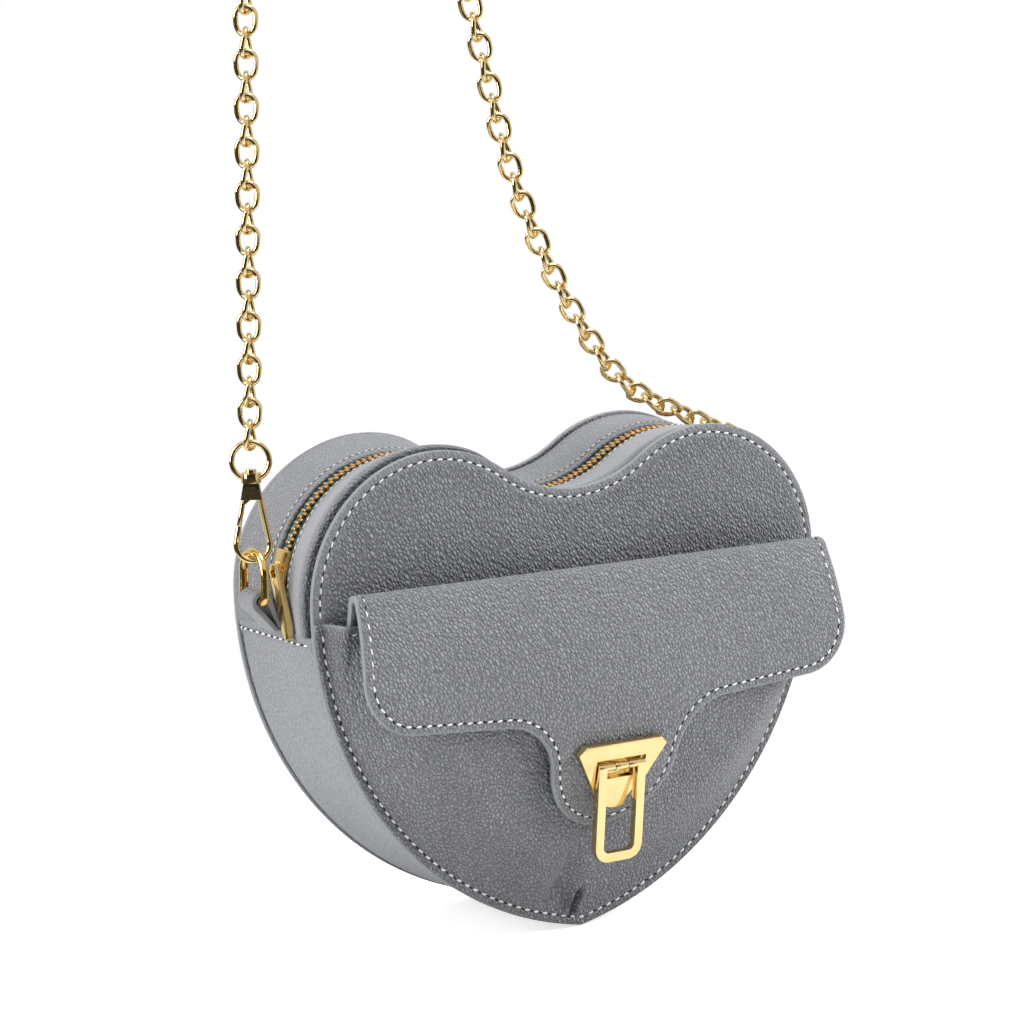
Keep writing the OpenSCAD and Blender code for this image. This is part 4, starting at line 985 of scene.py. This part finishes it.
def pocket_face(x, z):
    """y of the pocket's outer skin."""
    d = side_r - hypot(abs(x) - side_cx, z)
    puff = sin(min(max((d - side_rise_start) / side_rise_run, 0), 1) * pi / 2)
    out = seam_rise * ease(*seam_run, d) + (pocket_depth - seam_rise) * max(pocket_rise(z), 0) * puff
    over_leg = max(leg_out + leg_lean * (z + mouth_drop), 0) * ease(side_rise_start, leg_end, d)
    out = (out ** bend_power + over_leg ** bend_power) ** (1 / bend_power)
    out -= groove(d) * pocket_groove
    below = -mouth_drop - z
    if below < fold_near:
        out += mouth_fold * (1 - ease(*fold_fall, below)) * ease(*fold_start, below)
        out -= mouth_groove * exp(-((below - mouth_sew) / mouth_groove_w) ** 2)
    tip_z = z - pocket_low
    out -= (hollow_d * exp(-((x - hollow_x - hollow_slope * tip_z) / hollow_w) ** 2)
            * ease(*hollow_foot, tip_z) * (1 - ease(*hollow_head, tip_z)))
    pinch, aside, reach = dart_pinch(x, z)
    out += dart_lip * exp(-((aside - dart_lip_at) / dart_lip_w) ** 2) * reach - dart_d * pinch
    soft = ease(*soft_side, d) * ease(*soft_mouth, below)
    return -(max(out, least_out) + soft * pocket_wave * waver(x, z, 41, 24)
             + fine_wave * ease(*fine_run, d) * waver(x, z, 47, 9))


bm = bmesh.new()
rim = bm.verts.layers.float.new("rim")
seam = bm.verts.layers.float.new("seam")
columns, rows = 120, 110
bmesh.ops.create_grid(bm, x_segments=columns, y_segments=rows, size=1)
tip_room, side_room, panel_room = 0.03, 0.05, 0.06
for vert in bm.verts:
    across, down = vert.co.x, (1 - vert.co.y) / 2
    down *= 1.35 - 0.35 * down
    z = -mouth_drop + (pocket_low + tip_room + mouth_drop) * down
    wide = side_cx + sqrt(max(side_r ** 2 - z * z, 0)) if z > tip_join_z else sqrt(
        max(tip_r ** 2 - (z - tip_cz) ** 2, 0))
    x = (wide - side_room) * sin(across * pi / 2)
    vert.co = (x, pocket_face(x, z), z)
    # Painted shade in the dart's pinched fold.
    vert[seam] = 0.9 * dart_pinch(x, z)[0]
bmesh.ops.remove_doubles(bm, verts=bm.verts, dist=0.01)
face_out(bm)
if sum(f.normal.y for f in bm.faces) > 0:
    bmesh.ops.reverse_faces(bm, faces=bm.faces)
bmesh.ops.solidify(bm, geom=bm.faces[:], thickness=pocket_t)
for vert in bm.verts:
    d = side_r - hypot(abs(vert.co.x) - side_cx, vert.co.z)
    vert.co.y = min(vert.co.y, -panel_room)
    vert[rim] = 0.8 if d < 0.35 or -mouth_drop - vert.co.z < 0.4 else 0
put("pocket_leather", bm, "bag", "front_pocket", finish=front_leather, slot="front_leather", smooth=50)


def pocket_out(x, z, step=1.5):
    """Outward direction of the pocket at its sewing, without the groove's own walls."""
    slope_x = (pocket_face(x + step, z) - pocket_face(x - step, z)) / (2 * step)
    slope_z = (pocket_face(x, z + step) - pocket_face(x, z - step)) / (2 * step)
    return (Vector((slope_x, -1, slope_z)).normalized() + Vector((0, -1.5, 0))).normalized()


line = heart_points(stitch_in, lambda x, z: pocket_face(x, z) - 0.05, lambda p: p.z < -mouth_drop)
pocket_line = (sorted([p for p in line if p.x <= 0], key=lambda p: -p.z)
               + sorted([p for p in line if p.x >= 0], key=lambda p: p.z))
pocket_line = [p for i, p in enumerate(pocket_line) if i == 0 or (p - pocket_line[i - 1]).length > 0.01]
sew("pocket_edge_stitches", [(p, along, step, pocket_out(p.x, p.z))
                             for p, along, step in evenly(pocket_line, stitch_pitch)],
    "bag", "front_leather")
z = -mouth_drop - mouth_sew
mouth_line = [Vector((x, pocket_face(x, z), z)) for x in [i * 1.5 for i in range(-65, 66)]]
sew("pocket_mouth_stitches", spots_facing(mouth_line, (0, -1, 0)), "bag", "front_leather")


# Flap
# Two leathers glued back to back in one piece: a rear leg sewn to the panel behind the pocket's
# mouth, a soft fold, and a bowed front with a tongue for the lock. A painted edge, sewn inside it.
flap_t, fold_r, fold_lean, bow_r = 2.2, 4.2, 25, 95
fold_y, fold_z = -13.2, 1.6
flap_half_w, flap_flare, corner_r, corner_rise = 95, 3, 18.5, 2.5
flap_drop, tongue_drop, tongue_r, fillet_r = 42.5, 84, 26, 20
root_l, root_narrow, root_drop, root_gap, flare_run, bend_slope = 28.5, 2, 27.3, 0.1, 45, 0.2
flap_groove, flap_round, flap_wave, lock_z = 0.8, 0.25, 0.35, -64
round_run, flap_calm, lock_calm = (0.2, 2.2), (6, 16), (18, 30)
bow_cy = fold_y + (bow_r - fold_r) * cos(radians(fold_lean))
bow_cz = fold_z - (bow_r - fold_r) * sin(radians(fold_lean))
join_z = bow_cz + bow_r * sin(radians(fold_lean))
fold_turn = 180 - fold_lean
fold_run = fold_r * radians(fold_turn)
sheet_top = join_z + fold_run + root_l
root_from = Vector((0, fold_y + fold_r, fold_z))
root_to = Vector((0, -root_gap, fold_z - root_drop))
root_way = (root_to - root_from).normalized()
root_in = Vector((0, root_way.z, -root_way.y))
tongue_cz = -tongue_drop + tongue_r
fillet_cz = -flap_drop - fillet_r
fillet_x = sqrt((tongue_r + fillet_r) ** 2 - (tongue_cz - fillet_cz) ** 2)
fillet_dir = degrees(atan2(fillet_cz - tongue_cz, fillet_x))
flap_low_w = flap_half_w + flap_flare


def on_flap(x, q, t):
    """Point of the flap: x across, q up its face and over the fold, t deep under the outer face."""
    if q <= join_z:
        up = (q - bow_cz) / bow_r
        flat = sqrt(1 - up * up)
        return Vector((x, bow_cy - (bow_r - t) * flat, bow_cz + (bow_r - t) * up))
    if q <= join_z + fold_run:
        a = radians(fold_turn) - (q - join_z) / fold_r
        return Vector((x, fold_y + (fold_r - t) * cos(a), fold_z + (fold_r - t) * sin(a)))
    return Vector((x, 0, 0)) + root_from + root_way * (q - join_z - fold_run) + root_in * t


def stretch(bm, line, vector, steps):
    """Carries the last vertex of a line straight on by a vector, in equal steps."""
    for _ in range(steps):
        made = bmesh.ops.extrude_vert_indiv(bm, verts=[line[-1]])["verts"]
        bmesh.ops.translate(bm, vec=Vector(vector) / steps, verts=made)
        line += made


def half_sheet(bm, inset, t):
    """Right half of the flat flap's outline: top, side, corner, lower edge, fillet and tongue."""
    top = sheet_top - inset
    line = bmesh.ops.create_vert(bm, co=(0, t, top))["vert"]
    side_x = flap_half_w - root_narrow - inset
    stretch(bm, line, (side_x, 0, 0), 1)
    stretch(bm, line, (root_narrow, 0, join_z + fold_run - top), 1)
    corner = (flap_low_w - corner_r, corner_r - flap_drop + corner_rise)
    at = line[-1].co
    stretch(bm, line, (corner[0] + corner_r - inset - at.x, 0, corner[1] - at.z), 1)
    swing(bm, line, corner, 90, 14)
    at = line[-1].co
    stretch(bm, line, (fillet_x - at.x, 0, inset - flap_drop - at.z), 12)
    swing(bm, line, (fillet_x, fillet_cz), -90 - fillet_dir, 12)
    swing(bm, line, (0, tongue_cz), fillet_dir + 90, 26)
    return line


def flap_dent(inset):
    """Depth of the sewn groove and soft rounding of the flap's face by its edge."""
    return groove(inset) * flap_groove + flap_round * (1 - ease(*round_run, inset))


bm = bmesh.new()
rim = bm.verts.layers.float.new("rim")
flap_cut, bow_cut, root_cut, fold_cut = 4.1, 2.5, 6, 0.6
face_rows = (0.3, 0.8, 1.4, 1.9, 2.4, 2.7, 3, 3.3, 3.7, 4.3, 5.2, 6.4)
sheet_rows = [(inset, 0) for inset in reversed(face_rows)]
sheet_rows += [(0.08, 0.45), (0, 1.1), (0.08, 1.75), (0.35, flap_t), (1.5, flap_t)]
lines = [half_sheet(bm, inset, t) for inset, t in sheet_rows]
skin(bm, lines)
for (inset, t), line in zip(sheet_rows, lines):
    for vert in line:
        vert[rim] = 1.0 if inset < 0.4 else (0.4 if inset < 1 else 0)
mirror_half(bm)
fill_holes(bm)
heights = [sheet_top - 4 - root_cut * i for i in range(4)]
heights += [join_z + fold_run + 1 - fold_cut * i for i in range(24)]
heights += [join_z - bow_cut * i for i in range(1, 34)]
for height in heights:
    slice_faces(bm, bm.faces[:], (0, 0, height), (0, 0, 1))
for i in range(-23, 24):
    slice_faces(bm, [f for f in bm.faces if f.calc_area() > 2], (i * flap_cut, 0, 0), (1, 0, 0))
for vert in bm.verts:
    x, t, q = vert.co
    vert.co = on_flap(x, q, t)
face_out(bm)


def sheet_inset(x, q):
    """Distance from a point of the flat flap to its outline."""
    x = abs(x)
    side = flap_half_w + flap_flare * min(max((join_z + 2 - q) / flare_run, 0), 1) - x
    if x > flap_low_w - corner_r and q < corner_r - flap_drop + corner_rise:
        side = corner_r - hypot(x - flap_low_w + corner_r, q + flap_drop - corner_rise - corner_r)
    along_edge = (x - fillet_x) / (flap_low_w - corner_r - fillet_x)
    low_edge = q + flap_drop - corner_rise * min(max(along_edge, 0), 1)
    if x < fillet_x:
        dip = hypot(x - fillet_x, q - fillet_cz) - fillet_r
        round_end = tongue_r - hypot(x, q - tongue_cz)
        low_edge = dip if q > tongue_cz + (fillet_cz - tongue_cz) * x / fillet_x else round_end
    return min(side, low_edge)


def flap_softness(x, q):
    """Unevenness of the flap's face, which lies flat at its edges, at the fold and under the lock."""
    return (flap_wave * waver(x, q, 61, 26) * ease(*flap_calm, sheet_inset(x, q))
            * (1 - ease(join_z - 4, join_z, q)) * ease(*lock_calm, hypot(x, q - lock_z)))


bow_centre = Vector((0, bow_cy, bow_cz))
for vert in bm.verts:
    from_bow = vert.co - bow_centre
    radius = hypot(from_bow.y, from_bow.z)
    if vert.co.z < join_z - 0.2 and vert.co.y < fold_y and abs(radius - bow_r) < 0.1:
        out = Vector((0, from_bow.y, from_bow.z)).normalized()
        q = bow_cz + bow_r * from_bow.z / radius
        vert.co += out * (flap_softness(vert.co.x, q) - flap_dent(sheet_inset(vert.co.x, q)))
flap_leather = leather("flap_leather", linear(142, 144, 148), 0.9, paint_edge, crease=0.5)
flap = put("flap_leather", bm, None, finish=flap_leather, slot="front_leather", smooth=50)


def bend_with_flap(piece):
    """Bakes a piece's place into its mesh, without bending it round the fold."""
    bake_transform(piece)


bend_with_flap(flap)
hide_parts("flap", "flap_backing", "flap_fold", "flap_root")

fold_sewn_share, outline_step, look_ahead, stitch_sink = 0.62, 1.5, 0.5, 0.3
bm = bmesh.new()
half = [Vector((v.co.x, 0, v.co.z)) for v in half_sheet(bm, stitch_in, 0)]
bm.free()
outline = []
for a, b in zip(half, half[1:]):
    parts = max(int((b - a).length / outline_step), 1)
    outline += [a.lerp(b, i / parts) for i in range(parts)]
outline += [half[-1]]
outline = [p for p in outline if p.z < join_z + fold_run * fold_sewn_share]
whole = [Vector((-p.x, 0, p.z)) for p in outline] + outline[-2::-1]
spots = []
for p, along, step in evenly(whole, stitch_pitch):
    here = on_flap(p.x, p.z, 0)
    ahead = (on_flap(p.x + along.x * look_ahead, p.z + along.z * look_ahead, 0) - here).normalized()
    out = (here - on_flap(p.x, p.z, 1)).normalized()
    spots.append((here - out * stitch_sink, ahead, step, out))
bend_with_flap(sew("flap_edge_stitches", spots, None, "front_leather"))


# Lock
# Polished cast plate screwed through the flap's tongue to a steel plate behind it, with a long
# hinged ring on a pin. Two steel magnets, in the flap and in the pocket, hold the flap shut.
pale_gold = metal("pale_gold", linear(229, 204, 148), 0.08, linear(218, 184, 120), 0.02)
steel = metal("steel_plate", linear(190, 192, 196), 0.3, linear(150, 152, 156), 0.1)
cast("lock_plate_casting", "lock_plate", pale_gold, 0.6)
cast("lock_ring_casting", "lock_ring", pale_gold, 0.5)
cast("lock_hinge_pin", "lock_pin", pale_gold, 0.1)
for name, node in (("lock_back_steel", "lock_back_plate"), ("lock_screw_pair", "lock_screws"),
                   ("flap_magnet_disc", "flap_magnet"), ("pocket_magnet_disc", "pocket_magnet")):
    cast(name, node, steel, 0.12)


# Zip slider and pull
# Cast two-winged slider that runs on both rows of teeth. Its lug carries a long tapered metal pull,
# which lies back over the left lobe.
slider_gold = metal("slider_gold", linear(232, 200, 130), 0.16, linear(206, 164, 92), 0.05)
cast("zip_slider_body", "zip_slider", slider_gold, 0.2)
cast("zip_pull_bar", "zip_pull", slider_gold, 0.35)


# D-rings and their tabs
# Rings bent from round plated wire, one at each end of the zip. Each turns in a short leather tab
# folded round its straight bar, and the tab's two ends are caught in the gusset's seam.
deep_gold = metal("deep_gold", linear(230, 194, 124), 0.12, linear(214, 172, 96), 0.04)
for side in ("left", "right"):
    cast(side + "_d_ring_wire", side + "_d_ring", deep_gold, 0, 40)
dring_wire, dring_out, tab_t, tab_w, tab_room, tab_edge = 3, 6.2, 1.9, 9.6, 0.3, 0.4
left_bar_z, right_bar_z = 0.5, -3.5
dring_x = lobe_x + lobe_r + dring_out
for side, sign, bar_z in (("left", -1, left_bar_z), ("right", 1, right_bar_z)):
    foot_x = side_cx + sqrt(side_r ** 2 - seam_drop ** 2) + tab_room
    foot = Vector((foot_x - dring_x, 0, -seam_drop - bar_z))
    way = foot.normalized()
    across = Vector((way.z, 0, -way.x))
    bm = bmesh.new()
    rim = bm.verts.layers.float.new("rim")
    r_in, r_out, half = dring_wire / 2 + tab_room, dring_wire / 2 + tab_room + tab_t, tab_w / 2
    edge_y = half - tab_edge
    ring = [(r_in, -edge_y), (r_in + tab_edge, -half), (r_out - tab_edge, -half), (r_out, -edge_y),
            (r_out, -half / 2), (r_out, 0), (r_out, half / 2), (r_out, edge_y),
            (r_out - tab_edge, half), (r_in + tab_edge, half), (r_in, edge_y), (r_in, 0)]
    lines = []
    for r, y in ring:
        foot_out = across * max(r - r_in - 0.05, 0.05)
        line = bmesh.ops.create_vert(bm, co=foot + foot_out + Vector((0, y, 0)))["vert"]
        stretch(bm, line, across * r - foot - foot_out, 6)
        swing(bm, line, (0, 0), 180, 16)
        stretch(bm, line, foot - foot_out + across * r, 6)
        for vert in line:
            vert[rim] = 0.8 if abs(y) > half - 0.1 else 0
        lines.append(line)
    skin(bm, lines + lines[:1])
    fill_holes(bm)
    if sign < 0:
        bmesh.ops.scale(bm, vec=(-1, 1, 1), verts=bm.verts)
    bmesh.ops.translate(bm, vec=(sign * dring_x, bag_d / 2, bar_z), verts=bm.verts)
    face_out(bm)
    put(side + "_tab_leather", bm, "bag", side + "_tab", finish=side_leather, slot="side_leather")


# Clasps
# Swivel hooks cast in one piece and plated. A sprung gate on a rivet closes each hook round its
# D-ring, and a ring that turns on the hook's post holds the chain.
for side in ("left", "right"):
    for part in ("clasp", "gate", "swivel_ring", "clasp_rivet"):
        bevel = 0 if part == "clasp_rivet" else 0.12
        node = side + "_" + part
        cast(node + "_casting", node, pale_gold, bevel, 40)
    cast(side + "_gate_spring_wire", side + "_gate_spring", steel, 0, 40)


# Chain strap
# Curb chain of round plated wire: each link is twisted so that the links lie into one another. It
# stands up on the left, turns over at the top and comes down to lie along the right lobe.
link_l, link_w, link_wire, link_gap, link_twist, link_roll = 10.9, 8.4, 1.8, 0.1, 34, 45
link_reach = (link_l - link_wire) / 2
link_step = 2 * link_reach - link_wire - link_gap
left_strand_l, arch_r, sag_r, settle_r = 189, 35, 230, 62
up_dir, down_dir, sag_dir, drape_dir = 88.7, -75.5, -52, -23
left_lean, right_lean, right_tilt = 0, 41, 10
dring_top, eye_top, chain_gap = 16, 37.85, 0.3


def toward(direction):
    """Unit vector at an angle from x towards z."""
    return Vector((cos(radians(direction)), 0, sin(radians(direction))))


def bend_step(radius, first, last):
    """Step from the start of a bend to its end, to the left of its heading where radius is over 0."""
    return (toward(first + 90) - toward(last + 90)) * radius


def turned(first, second):
    """How far one direction lies to the left of another, as a sine."""
    return first.x * second.z - first.z * second.x


ring_top = eye_top - link_wire - chain_gap
left_hook = Vector((-dring_x, 0, left_bar_z + dring_top)) - toward(90 + left_lean) * dring_wire / 2
right_hook = (Vector((dring_x, 0, right_bar_z)) + toward(90 - right_tilt) * dring_top
              - toward(90 + right_lean) * dring_wire / 2)
chain_start = left_hook + toward(90 + left_lean) * ring_top + toward(up_dir) * link_reach
chain_end = right_hook + toward(90 + right_lean) * ring_top - toward(drape_dir) * link_reach
straight_step = (chain_end - chain_start - toward(up_dir) * left_strand_l
                 - bend_step(-arch_r, up_dir, down_dir) - bend_step(sag_r, down_dir, sag_dir)
                 - bend_step(settle_r, sag_dir, drape_dir))
straight_turn = turned(toward(down_dir), toward(drape_dir))
right_run = turned(straight_step, toward(drape_dir)) / straight_turn
drape_run = turned(toward(down_dir), straight_step) / straight_turn
arch_run = radians(up_dir - down_dir) * arch_r
legs = [(left_strand_l, up_dir, up_dir, 0), (arch_run, up_dir, down_dir, -arch_r),
        (right_run, down_dir, down_dir, 0),
        (radians(sag_dir - down_dir) * sag_r, down_dir, sag_dir, sag_r),
        (radians(drape_dir - sag_dir) * settle_r, sag_dir, drape_dir, settle_r),
        (drape_run, drape_dir, drape_dir, 0)]
chain_run = sum(leg[0] for leg in legs)
link_count = 2 * ceil(chain_run / link_step / 2) + 1
link_pitch = chain_run / (link_count - 1)


def chain_at(run):
    """Place and heading of the chain after a run from the left clasp."""
    spot = chain_start.copy()
    for length, heading, last, radius in legs:
        here = min(run, length)
        if radius:
            now = heading + (last - heading) * here / length
            spot += bend_step(radius, heading, now)
            heading = now
        else:
            spot += toward(heading) * here
        run -= here
        if run <= 0:
            break
    return spot, heading


def link_shape():
    """One twisted link, lying along z with its face towards y."""
    r = (link_w - link_wire) / 2
    half = link_reach - r
    shape = bmesh.new()
    ring = bmesh.ops.create_circle(shape, segments=10, radius=link_wire / 2,
                                   matrix=Matrix.Translation((r, 0, -half)))["verts"]
    geom = ring + list({e for v in ring for e in v.link_edges})
    for centre, lift in ((half, 2 * half), (-half, -2 * half)):
        made = bmesh.ops.spin(shape, geom=geom, cent=(0, 0, 0), axis=(0, 1, 0), angle=0,
                              dvec=(0, 0, lift / 3), steps=3)
        made = bmesh.ops.spin(shape, geom=made["geom_last"], cent=(0, 0, centre), axis=(0, 1, 0),
                              angle=-pi, steps=9)
        geom = made["geom_last"]
    bmesh.ops.remove_doubles(shape, verts=shape.verts, dist=0.01)
    for vert in shape.verts:
        turn = Matrix.Rotation(radians(link_twist) * vert.co.z / link_reach / 2, 3, "Z")
        vert.co = turn @ vert.co
    bmesh.ops.recalc_face_normals(shape, faces=shape.faces)
    return shape


arch_end = left_strand_l + arch_run
stretches = {"chain_left": (0, left_strand_l), "chain_arch": (left_strand_l, arch_end),
             "chain_right": (arch_end, arch_end + right_run),
             "chain_drape": (arch_end + right_run, chain_run + link_pitch / 2)}
for node, (run_from, run_to) in stretches.items():
    places = []
    for i in range(ceil(run_from / link_pitch), ceil(run_to / link_pitch)):
        spot, heading = chain_at(min(i * link_pitch, chain_run - 0.05))
        turn = Matrix.Rotation(radians(90 - heading), 4, "Y")
        roll_of_link = Matrix.Rotation(radians(link_roll if i % 2 == 0 else -link_roll), 4, "Z")
        places.append(Matrix.Translation(spot + Vector((0, bag_d / 2, 0))) @ turn @ roll_of_link)
    draped = node == "chain_drape"
    piece = put(node + "_links", repeat(link_shape(), places), None if draped else "strap", node,
                finish=pale_gold, slot="gold_metal", smooth=0)
    if draped:
        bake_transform(piece)
